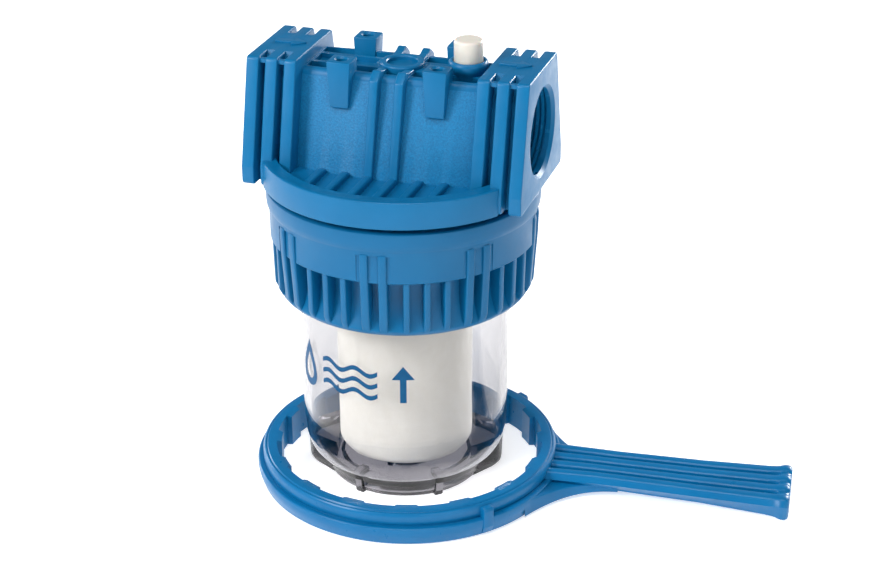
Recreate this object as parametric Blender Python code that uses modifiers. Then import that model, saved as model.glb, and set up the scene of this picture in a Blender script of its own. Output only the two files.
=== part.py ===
"""Clear-bowl cartridge filter housing with its ring wrench.

The head carries two threaded ports on one axis (X), a vent screw and four bracket posts.
A ribbed locking nut holds the clear bowl against the head's threaded neck, and a felt
cartridge stands in the bowl. The wrench ring lies on the floor around the bowl.

Frame: origin on the bowl's axis at the plane it stands on, +X along the ports from inlet
to outlet, +Z up. All sizes below are millimetres, and MM turns them into metres.
"""
import math

import bmesh
import bpy
from mathutils import Matrix, Vector

MM = 0.001
GAP = 0.3                     # clearance left between pieces that touch

# Head
HEAD_HALF_LENGTH = 65.0       # port face to port face is twice this
HEAD_TOP = 206.3
HEAD_BOTTOM = 149.4
HEAD_TOP_HALF_DEPTH = 23.2    # the front and rear faces slant outwards going down
HEAD_FOOT_HALF_DEPTH = 34.4
HEAD_SLANT_FOOT = 158.0       # the faces are upright below this height
END_BLOCK_INNER = 41.5
RIB_BANDS = ((41.5, 47.1), (50.4, 56.0), (59.1, 65.0))
EDGE = 0.6                    # chamfer on the head's ribs
PANEL_TOP = 201.0
PORT_HEIGHT = 176.8
PORT_RADIUS = 19.5            # minor radius of a G 1 1/4 internal thread
PORT_DEPTH = 27.0
BAR_X = 5.85                  # centres of the two upright bars on each face
BAR_WIDTH = 4.1
POST_X = 22.1
POST_Y = 17.7
POST_TOP = 207.4
POST_HOLE_RADIUS = 2.5
POST_HOLE_DEPTH = 14.0
APRON_RADIUS = 64.7
APRON_HALF_LENGTH = 54.6
APRON_TOP = 161.7
APRON_BOTTOM = 149.0
APRON_FLOOR = 157.2
APRON_RIM_RADIUS = 58.2       # inner edge of the apron's broad top rim
APRON_RIB_PITCH = 11.4
NECK_RADIUS = 58.6            # thread major radius, less its clearance
NECK_BOTTOM = 127.8
NECK_BORE_RADIUS = 51.0
CHAMBER_TOP = 145.0
SPIGOT_RADIUS = 12.0
SPIGOT_BORE_RADIUS = 9.0
SPIGOT_BOTTOM = 128.0

# Vent
VENT_X = 30.7
VENT_BOSS_RADIUS = 8.2
VENT_BOSS_TOP = 206.8
VENT_HOLE_RADIUS = 4.9
VENT_SEAT = 204.3
VENT_KNOB_RADIUS = 6.5
VENT_KNOB_TOP = 216.3

# Locking nut
NUT_TOP = 146.5
NUT_BOTTOM = 93.9
NUT_BAND_BOTTOM = 121.8
NUT_SHELF = 122.6
NUT_BORE_RADIUS = 59.0
NUT_LIP_RADIUS = 50.8
NUT_RECESS_RADIUS = 54.6      # wall between the ribs
NUT_ANGLE = 5.8               # direction of one pair of long ribs, degrees

# Bowl
BOWL_RADIUS = 48.8
BOWL_BORE_RADIUS = 45.6
BOWL_FLANGE_RADIUS = 57.5
BOWL_FLANGE_TOP = 127.5
BOWL_FOOT_RADIUS = 37.0
BOWL_LOBE_ANGLE = 14.5
BOWL_RIB_ANGLES = (74.3, 131.6, 254.3, 311.6)
BOWL_ORING_RADIUS = 53.5
BOWL_ORING_THICKNESS = 3.0

# Cartridge
MEDIA_RADIUS = 32.5
MEDIA_BOTTOM = 13.6
MEDIA_TOP = 137.0
MEDIA_BORE_RADIUS = 15.6
CORE_RADIUS = 15.3
CORE_BORE_RADIUS = 13.8

# Wrench
WRENCH_CENTRE = (4.0, -6.6)
WRENCH_ANGLE = 5.8            # handle direction, degrees
WRENCH_TOP = 16.0
WRENCH_OUTER_RADIUS = 70.3
WRENCH_FLANGE_RADIUS = 72.8
WRENCH_LUG_RADIUS = 61.2
WRENCH_NOTCH_RADIUS = 63.6
WRENCH_NOTCHES = 16
WRENCH_NOTCH_HALF_ANGLE = 6.6
HANDLE_END = 181.5            # from the ring's centre

TURN_STEPS = 48

BLUE = (0.012, 0.150, 0.420, 1.0)


# ---------------------------------------------------------------- scene and helpers

def clear_scene():
    for obj in list(bpy.data.objects):
        bpy.data.objects.remove(obj, do_unlink=True)


def new_collection(name):
    collection = bpy.data.collections.new(name)
    bpy.context.scene.collection.children.link(collection)
    return collection


def new_material(name, colour, roughness, metallic=0.0, transmission=0.0):
    material = bpy.data.materials.new(name)
    material.use_nodes = True
    shader = material.node_tree.nodes["Principled BSDF"]
    shader.inputs["Base Color"].default_value = colour
    shader.inputs["Roughness"].default_value = roughness
    shader.inputs["Metallic"].default_value = metallic
    shader.inputs["Transmission Weight"].default_value = transmission
    return material


def to_mesh(obj):
    """Return a new mesh object with obj's evaluated shape in world space, and remove obj."""
    depsgraph = bpy.context.evaluated_depsgraph_get()
    mesh = bpy.data.meshes.new_from_object(obj.evaluated_get(depsgraph))
    mesh.transform(obj.matrix_world)
    name = obj.name
    bpy.data.objects.remove(obj, do_unlink=True)
    bm = bmesh.new()
    bm.from_mesh(mesh)
    bmesh.ops.remove_doubles(bm, verts=bm.verts, dist=0.00001)
    bmesh.ops.dissolve_degenerate(bm, edges=bm.edges, dist=0.00001)
    bmesh.ops.delete(bm, geom=[e for e in bm.edges if not e.link_faces], context="EDGES")
    bmesh.ops.recalc_face_normals(bm, faces=bm.faces)
    bm.to_mesh(mesh)
    bm.free()
    solid = bpy.data.objects.new(name, mesh)
    bpy.context.scene.collection.objects.link(solid)
    bpy.context.view_layer.update()
    return solid


def turned(outline, steps=TURN_STEPS, centre=(0.0, 0.0), closed=True):
    """A turned solid from (radius, height) points, listed down its outer side."""
    bm = bmesh.new()
    verts = [bm.verts.new((radius * MM, 0.0, height * MM)) for radius, height in outline]
    for first, second in zip(verts, verts[1:]):
        bm.edges.new((first, second))
    if closed:
        bm.edges.new((verts[-1], verts[0]))
    mesh = bpy.data.meshes.new("turned")
    bm.to_mesh(mesh)
    bm.free()
    obj = bpy.data.objects.new("turned", mesh)
    obj.location = (centre[0] * MM, centre[1] * MM, 0.0)
    bpy.context.scene.collection.objects.link(obj)
    screw = obj.modifiers.new("turn", "SCREW")
    screw.steps = steps
    screw.render_steps = steps
    screw.use_merge_vertices = True
    screw.merge_threshold = 0.00001
    bpy.context.view_layer.update()
    return to_mesh(obj)


def extruded(outline, thickness, matrix, edge=0.0):
    """A flat outline with a thickness along its own normal, placed by matrix (in mm)."""
    curve = bpy.data.curves.new("outline", "CURVE")
    curve.dimensions = "2D"
    curve.fill_mode = "BOTH"
    curve.extrude = (thickness / 2.0 - edge) * MM
    curve.bevel_depth = edge * MM
    curve.bevel_resolution = 0
    curve.offset = -edge * MM
    spline = curve.splines.new("POLY")
    spline.points.add(len(outline) - 1)
    for point, (u, v) in zip(spline.points, outline):
        point.co = (u * MM, v * MM, 0.0, 1.0)
    spline.use_cyclic_u = True
    obj = bpy.data.objects.new("extruded", curve)
    bpy.context.scene.collection.objects.link(obj)
    placed = matrix.copy()
    placed.translation = placed.translation * MM
    obj.matrix_world = placed
    bpy.context.view_layer.update()
    return to_mesh(obj)


def along_x(outline_yz, x_low, x_high, edge=0.0):
    """An outline in the YZ plane, extruded from x_low to x_high."""
    middle = (x_low + x_high) / 2.0
    matrix = Matrix(((0, 0, 1, middle), (1, 0, 0, 0), (0, 1, 0, 0), (0, 0, 0, 1)))
    return extruded(outline_yz, x_high - x_low, matrix, edge)


def along_z(outline_xy, z_low, z_high, edge=0.0):
    """An outline in the XY plane, extruded from z_low to z_high."""
    matrix = Matrix.Translation((0, 0, (z_low + z_high) / 2.0))
    return extruded(outline_xy, z_high - z_low, matrix, edge)


def radial_slab(outline_rz, width, angle, centre=(0.0, 0.0), edge=0.0):
    """An outline in a plane through the vertical axis at centre, width thick."""
    lay_upright = Matrix(((1, 0, 0, 0), (0, 0, -1, 0), (0, 1, 0, 0), (0, 0, 0, 1)))
    turn = Matrix.Rotation(math.radians(angle), 4, "Z")
    matrix = Matrix.Translation((centre[0], centre[1], 0)) @ turn @ lay_upright
    return extruded(outline_rz, width, matrix, edge)


def cylinder(radius, z_low, z_high, centre=(0.0, 0.0), segments=32):
    bm = bmesh.new()
    place = Matrix.Translation((centre[0] * MM, centre[1] * MM, (z_low + z_high) / 2.0 * MM))
    bmesh.ops.create_cone(bm, cap_ends=True, segments=segments, radius1=radius * MM,
                          radius2=radius * MM, depth=(z_high - z_low) * MM, matrix=place)
    return mesh_object("cylinder", bm)


def cylinder_along_x(radius, x_low, x_high, height, segments=40):
    bm = bmesh.new()
    place = Matrix.Translation(((x_low + x_high) / 2.0 * MM, 0.0, height * MM))
    bmesh.ops.create_cone(bm, cap_ends=True, segments=segments, radius1=radius * MM,
                          radius2=radius * MM, depth=(x_high - x_low) * MM,
                          matrix=place @ Matrix.Rotation(math.pi / 2.0, 4, "Y"))
    return mesh_object("cylinder", bm)


def box(low, high):
    bm = bmesh.new()
    size = [(high[i] - low[i]) * MM for i in range(3)]
    middle = [(high[i] + low[i]) / 2.0 * MM for i in range(3)]
    place = Matrix.Translation(middle) @ Matrix.Diagonal((*size, 1.0))
    bmesh.ops.create_cube(bm, size=1.0, matrix=place)
    return mesh_object("box", bm)


def loft(sections):
    """A solid through sections of equal point counts, each a list of (x, y, z)."""
    bm = bmesh.new()
    rings = [[bm.verts.new(Vector(point) * MM) for point in section] for section in sections]
    count = len(rings[0])
    for lower, upper in zip(rings, rings[1:]):
        for i in range(count):
            j = (i + 1) % count
            bm.faces.new((lower[i], lower[j], upper[j]))
            bm.faces.new((lower[i], upper[j], upper[i]))
    bm.faces.new(list(reversed(rings[0])))
    bm.faces.new(rings[-1])
    bmesh.ops.recalc_face_normals(bm, faces=bm.faces)
    return mesh_object("loft", bm)


def mesh_object(name, bm):
    mesh = bpy.data.meshes.new(name)
    bm.to_mesh(mesh)
    bm.free()
    obj = bpy.data.objects.new(name, mesh)
    bpy.context.scene.collection.objects.link(obj)
    bpy.context.view_layer.update()
    return obj


def arc(radius, start, end, steps):
    """Points on an arc about the origin, angles in degrees."""
    angles = [start + (end - start) * i / steps for i in range(steps + 1)]
    return [(radius * math.cos(math.radians(a)), radius * math.sin(math.radians(a)))
            for a in angles]


def boolean(target, operation, operands):
    """Join operands to target, or cut them from it, in one exact Boolean."""
    group = bpy.data.collections.new(f"{target.name} {operation.lower()}")
    CUTTERS.children.link(group)
    for operand in operands:
        for owner in list(operand.users_collection):
            owner.objects.unlink(operand)
        group.objects.link(operand)
        operand.hide_render = True
        operand.display_type = "WIRE"
    modifier = target.modifiers.new(operation.lower(), "BOOLEAN")
    modifier.operation = operation
    modifier.operand_type = "COLLECTION"
    modifier.collection = group
    modifier.solver = "EXACT"


def finish(obj, name, material, origin=(0.0, 0.0, 0.0), smooth_angle=30.0):
    """Name a sub-part, give it its material and put its origin on its joint's axis."""
    obj.name = name
    obj.data.name = name
    obj.data.materials.clear()
    obj.data.materials.append(material)
    offset = Vector(origin) * MM
    obj.data.transform(Matrix.Translation(-offset))
    obj.location = offset
    obj.data.shade_smooth()
    obj.data.set_sharp_from_angle(angle=math.radians(smooth_angle))
    for owner in list(obj.users_collection):
        owner.objects.unlink(obj)
    PARTS.objects.link(obj)
    return obj


def baked(obj):
    """Apply the modifiers so far, so that later ones see a plain mesh."""
    bpy.context.view_layer.update()
    return to_mesh(obj)


# ---------------------------------------------------------------- head

def mirrored_outline(side):
    """A closed YZ outline from one side's (half depth, height) points, listed downwards."""
    return [(y, z) for y, z in side] + [(-y, z) for y, z in reversed(side)]


def head_ribs():
    side = [(HEAD_TOP_HALF_DEPTH, HEAD_TOP), (HEAD_FOOT_HALF_DEPTH, HEAD_SLANT_FOOT),
            (HEAD_FOOT_HALF_DEPTH, HEAD_BOTTOM)]
    outline = mirrored_outline(side)
    ribs = []
    for low, high in RIB_BANDS:
        ribs.append(along_x(outline, low, high, EDGE))
        ribs.append(along_x(outline, -high, -low, EDGE))
    return ribs


def end_block_cores():
    side = [(12.2, HEAD_TOP), (18.0, 196.0), (21.8, PORT_HEIGHT), (27.1, HEAD_BOTTOM)]
    outline = mirrored_outline(side)
    inner = END_BLOCK_INNER + EDGE
    outer = HEAD_HALF_LENGTH - 2.0 * EDGE
    return [along_x(outline, inner, outer), along_x(outline, -outer, -inner)]


def panel_section(edge_depth, middle_depth, height, steps=12):
    """One level of the middle section, whose front and rear bulge towards the centre."""
    half = END_BLOCK_INNER + 1.5
    xs = [-half + 2.0 * half * i / steps for i in range(steps + 1)]
    front = [(x, -edge_depth - (middle_depth - edge_depth) * (1.0 - (x / half) ** 2)) for x in xs]
    rear = [(x, -y) for x, y in reversed(front)]
    return [(x, y, height) for x, y in front + rear]


def upright_bars():
    side = [(13.5, 204.3), (18.5, 204.3), (22.4, 200.8), (32.8, HEAD_SLANT_FOOT), (32.8, HEAD_BOTTOM)]
    bars = []
    for x in (-BAR_X, BAR_X):
        for facing in (-1, 1):
            outline = [(facing * y, z) for y, z in side] + [(facing * 13.5, HEAD_BOTTOM)]
            low = x - BAR_WIDTH / 2.0
            bars.append(along_x(outline, low, low + BAR_WIDTH, 0.4))
    return bars


def bracket_posts():
    posts = []
    half_top = 5.5
    half_foot = 4.3
    for x in (-POST_X, POST_X):
        for facing in (-1, 1):
            inner = 12.4 * facing
            outer = 22.9 * facing
            sections = []
            levels = ((186.0, half_foot, 0.0), (206.8, half_top, 0.0), (POST_TOP, half_top - 0.6, 0.6))
            for height, half, inset in levels:
                near = outer - inset * facing
                far = inner + inset * facing
                sections.append([(x - half, far, height), (x - half, near, height),
                                 (x + half, near, height), (x + half, far, height)])
            posts.append(loft(sections))
    return posts


def apron():
    """The skirt over the nut at front and rear, with its broad rim, its floor and its low ribs."""
    end = math.degrees(math.acos(APRON_HALF_LENGTH / APRON_RADIUS))
    wall = 2.8
    inner_end = math.degrees(math.acos(APRON_HALF_LENGTH / (APRON_RADIUS - wall)))
    rim_end = math.degrees(math.acos(APRON_HALF_LENGTH / APRON_RIM_RADIUS))
    pieces = []
    floor = arc(APRON_RADIUS - wall / 2.0, end, 180.0 - end, 18)
    floor += arc(APRON_RADIUS - wall / 2.0, 180.0 + end, 360.0 - end, 18)
    pieces.append(along_z(floor, APRON_FLOOR - 2.8, APRON_FLOOR))
    for turn in (0.0, 180.0):
        outer = arc(APRON_RADIUS, turn + end, turn + 180.0 - end, 20)
        inner = arc(APRON_RADIUS - wall, turn + 180.0 - inner_end, turn + inner_end, 20)
        pieces.append(along_z(outer + inner, APRON_BOTTOM, APRON_TOP, 0.5))
        outer = arc(APRON_RADIUS - wall / 2.0, turn + end, turn + 180.0 - end, 20)
        inner = arc(APRON_RIM_RADIUS, turn + 180.0 - rim_end, turn + rim_end, 20)
        pieces.append(along_z(outer + inner, APRON_FLOOR - 1.4, APRON_TOP - 0.1))
    for i in range(6):
        x = (i - 2.5) * APRON_RIB_PITCH
        reach = math.sqrt(APRON_RIM_RADIUS ** 2 - x * x) + 0.8
        for facing in (-1, 1):
            near, far = sorted((24.5 * facing, reach * facing))
            pieces.append(box((x - 2.0, near, APRON_FLOOR - 1.0), (x + 2.0, far, APRON_TOP - 1.2)))
    return pieces


def head_top_bosses():
    blank_port = turned([(9.2, 203.2), (10.0, 202.4), (10.0, 180.0), (7.4, 180.0), (7.4, 203.2)], 40)
    vent = turned([(7.6, VENT_BOSS_TOP), (VENT_BOSS_RADIUS, VENT_BOSS_TOP - 0.8),
                   (VENT_BOSS_RADIUS, 185.0), (6.9, 185.0), (6.9, VENT_BOSS_TOP)], 40, (VENT_X, 0.0))
    fills = [cylinder(7.6, 180.0, 199.8), cylinder(7.2, 185.0, VENT_SEAT, (VENT_X, 0.0))]
    return [blank_port, vent] + fills


def neck():
    wall = turned([(NECK_RADIUS, 151.0), (NECK_RADIUS, NECK_BOTTOM + 1.0), (NECK_RADIUS - 1.0, NECK_BOTTOM),
                   (NECK_BORE_RADIUS, NECK_BOTTOM), (NECK_BORE_RADIUS, CHAMBER_TOP - 2.0),
                   (NECK_BORE_RADIUS - 2.0, CHAMBER_TOP), (20.0, CHAMBER_TOP), (20.0, 151.0)])
    seat_ring = turned([(20.5, 151.0), (20.5, MEDIA_TOP + 2.3), (18.6, MEDIA_TOP + GAP),
                        (17.4, MEDIA_TOP + GAP), (SPIGOT_RADIUS + 3.0, MEDIA_TOP + 4.0),
                        (SPIGOT_RADIUS, MEDIA_TOP + 4.0), (SPIGOT_RADIUS, SPIGOT_BOTTOM + 1.0),
                        (SPIGOT_RADIUS - 0.8, SPIGOT_BOTTOM), (SPIGOT_BORE_RADIUS, SPIGOT_BOTTOM),
                        (SPIGOT_BORE_RADIUS, 151.0)], 40)
    return [wall, seat_ring]


def pockets():
    """Hollows in the middle section's top, between its rails, spine and cross ribs."""
    gap_inner = BAR_X - BAR_WIDTH / 2.0
    gap_outer = BAR_X + BAR_WIDTH / 2.0
    hollows = []
    for facing in (-1, 1):
        near, far = sorted((4.4 * facing, 12.2 * facing))
        hollows.append(box((-gap_inner, near, 193.5), (gap_inner, far, 206.0)))
        for low, high in ((gap_outer, 36.0), (-36.0, -gap_outer)):
            hollows.append(box((low, near, 193.5), (high, far, 206.0)))
    return hollows


def waterways():
    """Ports, the inlet's drop into the chamber, the outlet's riser, vent and screw holes."""
    chamfer = 1.2
    cutters = []
    for side in (-1, 1):
        low, high = sorted((side * (HEAD_HALF_LENGTH - PORT_DEPTH), side * (HEAD_HALF_LENGTH + 2.0)))
        cutters.append(cylinder_along_x(PORT_RADIUS, low, high, PORT_HEIGHT, 40))
        bm = bmesh.new()
        place = Matrix.Translation((side * (HEAD_HALF_LENGTH - chamfer / 2.0 + 0.01) * MM, 0.0,
                                    PORT_HEIGHT * MM))
        bmesh.ops.create_cone(bm, cap_ends=True, segments=40, radius1=PORT_RADIUS * MM,
                              radius2=(PORT_RADIUS + chamfer) * MM, depth=chamfer * MM,
                              matrix=place @ Matrix.Rotation(side * math.pi / 2.0, 4, "Y"))
        cutters.append(mesh_object("port chamfer", bm))
    cutters.append(box((-52.0, -13.0, CHAMBER_TOP - 1.0), (-39.5, 13.0, PORT_HEIGHT - 5.0)))
    cutters.append(cylinder_along_x(11.0, -8.2, 40.0, PORT_HEIGHT, 32))
    cutters.append(cylinder(SPIGOT_BORE_RADIUS, SPIGOT_BOTTOM - 1.0, PORT_HEIGHT, segments=40))
    cutters.append(cylinder(VENT_HOLE_RADIUS, PORT_HEIGHT, VENT_SEAT + 1.0, (VENT_X, 0.0)))
    for x in (-POST_X, POST_X):
        for y in (-POST_Y, POST_Y):
            cutters.append(cylinder(POST_HOLE_RADIUS, POST_TOP - POST_HOLE_DEPTH, POST_TOP + 1.0, (x, y), 16))
    return cutters


def make_head(material):
    middle = loft([panel_section(26.4, 31.0, HEAD_BOTTOM), panel_section(25.3, 30.4, HEAD_SLANT_FOOT),
                   panel_section(15.4, 16.6, PANEL_TOP)])
    boolean(middle, "DIFFERENCE", pockets())
    middle = baked(middle)
    additions = head_ribs() + end_block_cores() + upright_bars() + bracket_posts()
    additions += apron() + head_top_bosses() + neck()
    boolean(middle, "UNION", additions)
    middle = baked(middle)
    boolean(middle, "DIFFERENCE", waterways())
    return finish(baked(middle), "head", material)


# ---------------------------------------------------------------- vent

def make_vent_screw(material):
    knob_bottom = VENT_SEAT + GAP
    outline = [(0.0, VENT_KNOB_TOP), (VENT_KNOB_RADIUS - 0.9, VENT_KNOB_TOP),
               (VENT_KNOB_RADIUS - 0.25, VENT_KNOB_TOP - 0.3), (VENT_KNOB_RADIUS, VENT_KNOB_TOP - 1.0),
               (VENT_KNOB_RADIUS, knob_bottom), (4.4, knob_bottom), (4.4, 201.9), (2.7, 201.9),
               (2.7, 199.7), (4.4, 199.7), (4.4, 197.0), (2.4, 196.4), (2.0, 191.0), (0.0, 190.4)]
    screw = turned(outline, 24, (VENT_X, 0.0), closed=False)
    return finish(screw, "vent_screw", material, (VENT_X, 0.0, 0.0))


def ring(major, minor, height, centre, sides, steps):
    angles = [-2.0 * math.pi * i / sides for i in range(sides)]
    outline = [(major + minor * math.cos(a), height + minor * math.sin(a)) for a in angles]
    return turned(outline, steps, centre)


# ---------------------------------------------------------------- locking nut

def nut_ribs():
    """Eight pairs of long ribs with three short ones between each two pairs."""
    foot = [(53.2, 95.0), (54.7, 95.0), (60.2, 99.2)]
    long_rib = foot + [(62.0, 124.0), (62.1, 134.6), (61.4, 135.4), (60.2, 135.4), (60.2, 125.0), (53.2, 117.0)]
    short_rib = foot + [(60.4, NUT_BAND_BOTTOM + 0.6), (53.2, NUT_BAND_BOTTOM + 0.6)]
    ribs = []
    for pair in range(8):
        middle = NUT_ANGLE + 45.0 * pair
        for offset in (-3.9, 3.9):
            ribs.append(radial_slab(long_rib, 3.9, middle + offset))
        for offset in (13.7, 22.5, 31.3):
            ribs.append(radial_slab(short_rib, 2.8, middle + offset))
    return ribs


def make_nut(material):
    outline = [(62.2, NUT_TOP), (63.0, NUT_TOP - 0.8), (62.8, 138.0), (61.3, 136.0), (61.2, NUT_BAND_BOTTOM),
               (NUT_RECESS_RADIUS, NUT_BAND_BOTTOM - 2.0), (NUT_RECESS_RADIUS - 0.4, 94.5),
               (54.0, NUT_BOTTOM),
               (NUT_LIP_RADIUS + 0.6, NUT_BOTTOM), (NUT_LIP_RADIUS, NUT_BOTTOM + 0.6),
               (NUT_LIP_RADIUS, NUT_SHELF), (NUT_BORE_RADIUS, NUT_SHELF),
               (NUT_BORE_RADIUS, NUT_TOP - 1.0), (NUT_BORE_RADIUS + 1.0, NUT_TOP)]
    nut = turned(outline, 60)
    boolean(nut, "UNION", nut_ribs())
    return finish(baked(nut), "locking_nut", material)


# ---------------------------------------------------------------- bowl

def bowl_foot_pieces():
    """Two wedge-shaped lugs and four upright ribs around the bowl's foot."""
    pieces = []
    for turn in (BOWL_LOBE_ANGLE, BOWL_LOBE_ANGLE + 180.0):
        cosine, sine = math.cos(math.radians(turn)), math.sin(math.radians(turn))
        levels = []
        for height, tip in ((0.0, 45.0), (1.6, 46.4), (17.0, 47.0)):
            plan = [(31.5, -16.4), (33.4, -15.3), (tip - 2.4, -7.2), (tip - 0.4, -3.6), (tip - 0.4, 3.6),
                    (tip - 2.4, 7.2), (33.4, 15.3), (31.5, 16.4)]
            levels.append([(u * cosine - v * sine, u * sine + v * cosine, height) for u, v in plan])
        pieces.append(loft(levels))
    rib = [(33.0, 0.0), (38.4, 0.0), (40.6, 12.5), (33.0, 12.5)]
    for angle in BOWL_RIB_ANGLES:
        pieces.append(radial_slab(rib, 3.7, angle))
    return pieces


def make_bowl(material):
    groove = BOWL_ORING_THICKNESS / 2.0 + GAP
    groove_floor = BOWL_FLANGE_TOP - BOWL_ORING_THICKNESS - 0.4
    outline = [(BOWL_FLANGE_RADIUS, BOWL_FLANGE_TOP), (BOWL_FLANGE_RADIUS, NUT_SHELF + GAP),
               (BOWL_RADIUS + 0.9, NUT_SHELF + GAP), (BOWL_RADIUS + 0.3, 114.0), (BOWL_RADIUS, 78.0),
               (BOWL_RADIUS - 0.2, 39.0), (48.4, 26.0), (47.6, 19.0), (45.9, 14.4), (43.2, 11.6),
               (40.6, 10.6), (39.4, 6.9), (38.5, 6.3), (37.7, 2.8), (BOWL_FOOT_RADIUS, 0.6),
               (BOWL_FOOT_RADIUS - 0.6, 0.0), (31.0, 0.0), (29.5, 4.0), (12.5, 4.0), (11.0, 0.0),
               (0.0, 0.0)]
    inside = [(0.0, 22.0), (8.0, 22.0), (12.0, 20.0), (12.6, 9.4), (35.0, 9.4), (39.8, 11.4),
              (43.4, 15.6), (45.0, 22.0), (BOWL_BORE_RADIUS - 0.2, 39.0), (BOWL_BORE_RADIUS, 78.0),
              (BOWL_BORE_RADIUS + 0.2, BOWL_FLANGE_TOP),
              (BOWL_ORING_RADIUS - groove, BOWL_FLANGE_TOP), (BOWL_ORING_RADIUS - groove, groove_floor),
              (BOWL_ORING_RADIUS + groove, groove_floor), (BOWL_ORING_RADIUS + groove, BOWL_FLANGE_TOP)]
    bowl = turned(outline + inside, TURN_STEPS)
    seats = [box((-24.0, -1.2, 9.0), (24.0, 1.2, MEDIA_BOTTOM - GAP)),
             box((-1.2, -24.0, 9.0), (1.2, 24.0, MEDIA_BOTTOM - GAP))]
    boolean(bowl, "UNION", bowl_foot_pieces() + seats)
    return finish(baked(bowl), "bowl", material)


# ---------------------------------------------------------------- cartridge

def make_media(material):
    corner = 7.0
    steps = 5
    outline = [(MEDIA_RADIUS - 1.0, MEDIA_TOP), (MEDIA_RADIUS, MEDIA_TOP - 1.0)]
    for i in range(steps + 1):
        a = math.radians(90.0 * i / steps)
        outline.append((MEDIA_RADIUS - corner + corner * math.cos(a),
                        MEDIA_BOTTOM + corner - corner * math.sin(a)))
    outline += [(MEDIA_BORE_RADIUS, MEDIA_BOTTOM), (MEDIA_BORE_RADIUS, MEDIA_TOP)]
    return finish(turned(outline, 48), "filter_media", material)


def make_core(material):
    top = MEDIA_TOP - 0.4
    bottom = MEDIA_BOTTOM + 0.1
    core = turned([(CORE_RADIUS, top), (CORE_RADIUS, bottom), (CORE_BORE_RADIUS, bottom),
                   (CORE_BORE_RADIUS, top)], 32)
    windows = []
    for level in range(5):
        low = bottom + 8.0 + 23.0 * level
        for turn in (0.0, 90.0):
            window = box((-CORE_RADIUS - 2.0, -4.0, low), (CORE_RADIUS + 2.0, 4.0, low + 15.0))
            window.matrix_world = Matrix.Rotation(math.radians(turn + 45.0 * (level % 2)), 4, "Z")
            windows.append(window)
    boolean(core, "DIFFERENCE", windows)
    return finish(baked(core), "filter_core", material)


# ---------------------------------------------------------------- wrench

def notched_bore():
    """The wrench ring's inner outline: a lug between each two notches."""
    pitch = 360.0 / WRENCH_NOTCHES
    outline = []
    for k in range(WRENCH_NOTCHES):
        middle = pitch * k
        outline += arc(WRENCH_NOTCH_RADIUS, middle - WRENCH_NOTCH_HALF_ANGLE,
                       middle + WRENCH_NOTCH_HALF_ANGLE, 3)
        outline += arc(WRENCH_LUG_RADIUS, middle + WRENCH_NOTCH_HALF_ANGLE + 0.4,
                       middle + pitch - WRENCH_NOTCH_HALF_ANGLE - 0.4, 2)
    return outline


def handle_section(distance, half_top, half_foot, z_low, z_high, groove):
    """One cross-section of the handle: four ribs and three grooves on top."""
    ribs = 4
    pitch = 2.0 * half_top / ribs
    crest = 0.30 * pitch
    points = [(-half_foot, z_low), (half_foot, z_low), (half_top, z_high - 3.0)]
    for rib in range(ribs):
        middle = half_top - pitch * (rib + 0.5)
        points += [(middle + crest, z_high), (middle - crest, z_high)]
        if rib < ribs - 1:
            points += [(middle - 0.5 * pitch + 0.10 * pitch, z_high - groove),
                       (middle - 0.5 * pitch - 0.10 * pitch, z_high - groove)]
    points.append((-half_top, z_high - 3.0))
    return [(distance, y, z) for y, z in points]


def make_handle():
    sections = [handle_section(66.5, 15.4, 11.0, 1.0, 12.6, 3.4),
                handle_section(100.0, 14.4, 9.8, 3.0, 12.5, 3.2),
                handle_section(140.0, 15.4, 10.8, 1.9, 11.8, 3.2),
                handle_section(173.0, 16.8, 13.2, 0.6, 11.9, 3.2),
                handle_section(176.5, 17.3, 14.0, 0.3, 12.2, 0.5),
                handle_section(178.5, 18.0, 15.2, 0.0, 12.5, 0.1),
                handle_section(180.8, 17.8, 15.0, 0.1, 12.3, 0.1),
                handle_section(HANDLE_END, 17.0, 14.0, 1.0, 11.4, 0.1)]
    return loft(sections)


def handle_web():
    """The web that flares from the handle into the ring, thinner towards the handle."""
    steps = 8
    sections = []
    for i in range(steps + 1):
        along = i / steps
        s = 62.5 + (102.0 - 62.5) * along
        half = 10.2 + 26.6 * (1.0 - along) ** 2.4
        low = 0.6 + 2.2 * along
        high = 10.8 - 4.6 * math.sqrt(along)
        sections.append([(s, -half, low), (s, half, low), (s, half, high), (s, -half, high)])
    return loft(sections)


def make_wrench(material):
    ring_outline = [(69.4, WRENCH_TOP), (WRENCH_OUTER_RADIUS, WRENCH_TOP - 0.9),
                    (WRENCH_OUTER_RADIUS, 11.9), (72.2, 11.8), (WRENCH_FLANGE_RADIUS, 11.2),
                    (72.4, 6.0), (70.6, 0.5), (70.0, 0.0), (58.0, 0.0), (58.0, WRENCH_TOP)]
    body = turned(ring_outline, TURN_STEPS)
    tabs = []
    for angle in (-48.0, 50.5):
        tab = [(69.0, 1.0), (71.6, 1.0), (73.0, 5.0), (73.0, 11.2), (72.2, 14.2), (69.0, 14.2)]
        tabs.append(radial_slab(tab, 5.2, angle, edge=0.3))
    boolean(body, "UNION", [make_handle(), handle_web()] + tabs)
    body = baked(body)
    boolean(body, "DIFFERENCE", [along_z(notched_bore(), -2.0, WRENCH_TOP + 2.0)])
    body = baked(body)
    x, y = WRENCH_CENTRE
    turn = Matrix.Rotation(math.radians(WRENCH_ANGLE), 4, "Z")
    body.data.transform(Matrix.Translation((x * MM, y * MM, 0.0)) @ turn)
    return finish(body, "wrench", material, (x, y, 0.0))


# ---------------------------------------------------------------- the housing

clear_scene()
PARTS = new_collection("cartridge_filter_housing")
CUTTERS = new_collection("cutters")

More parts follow.
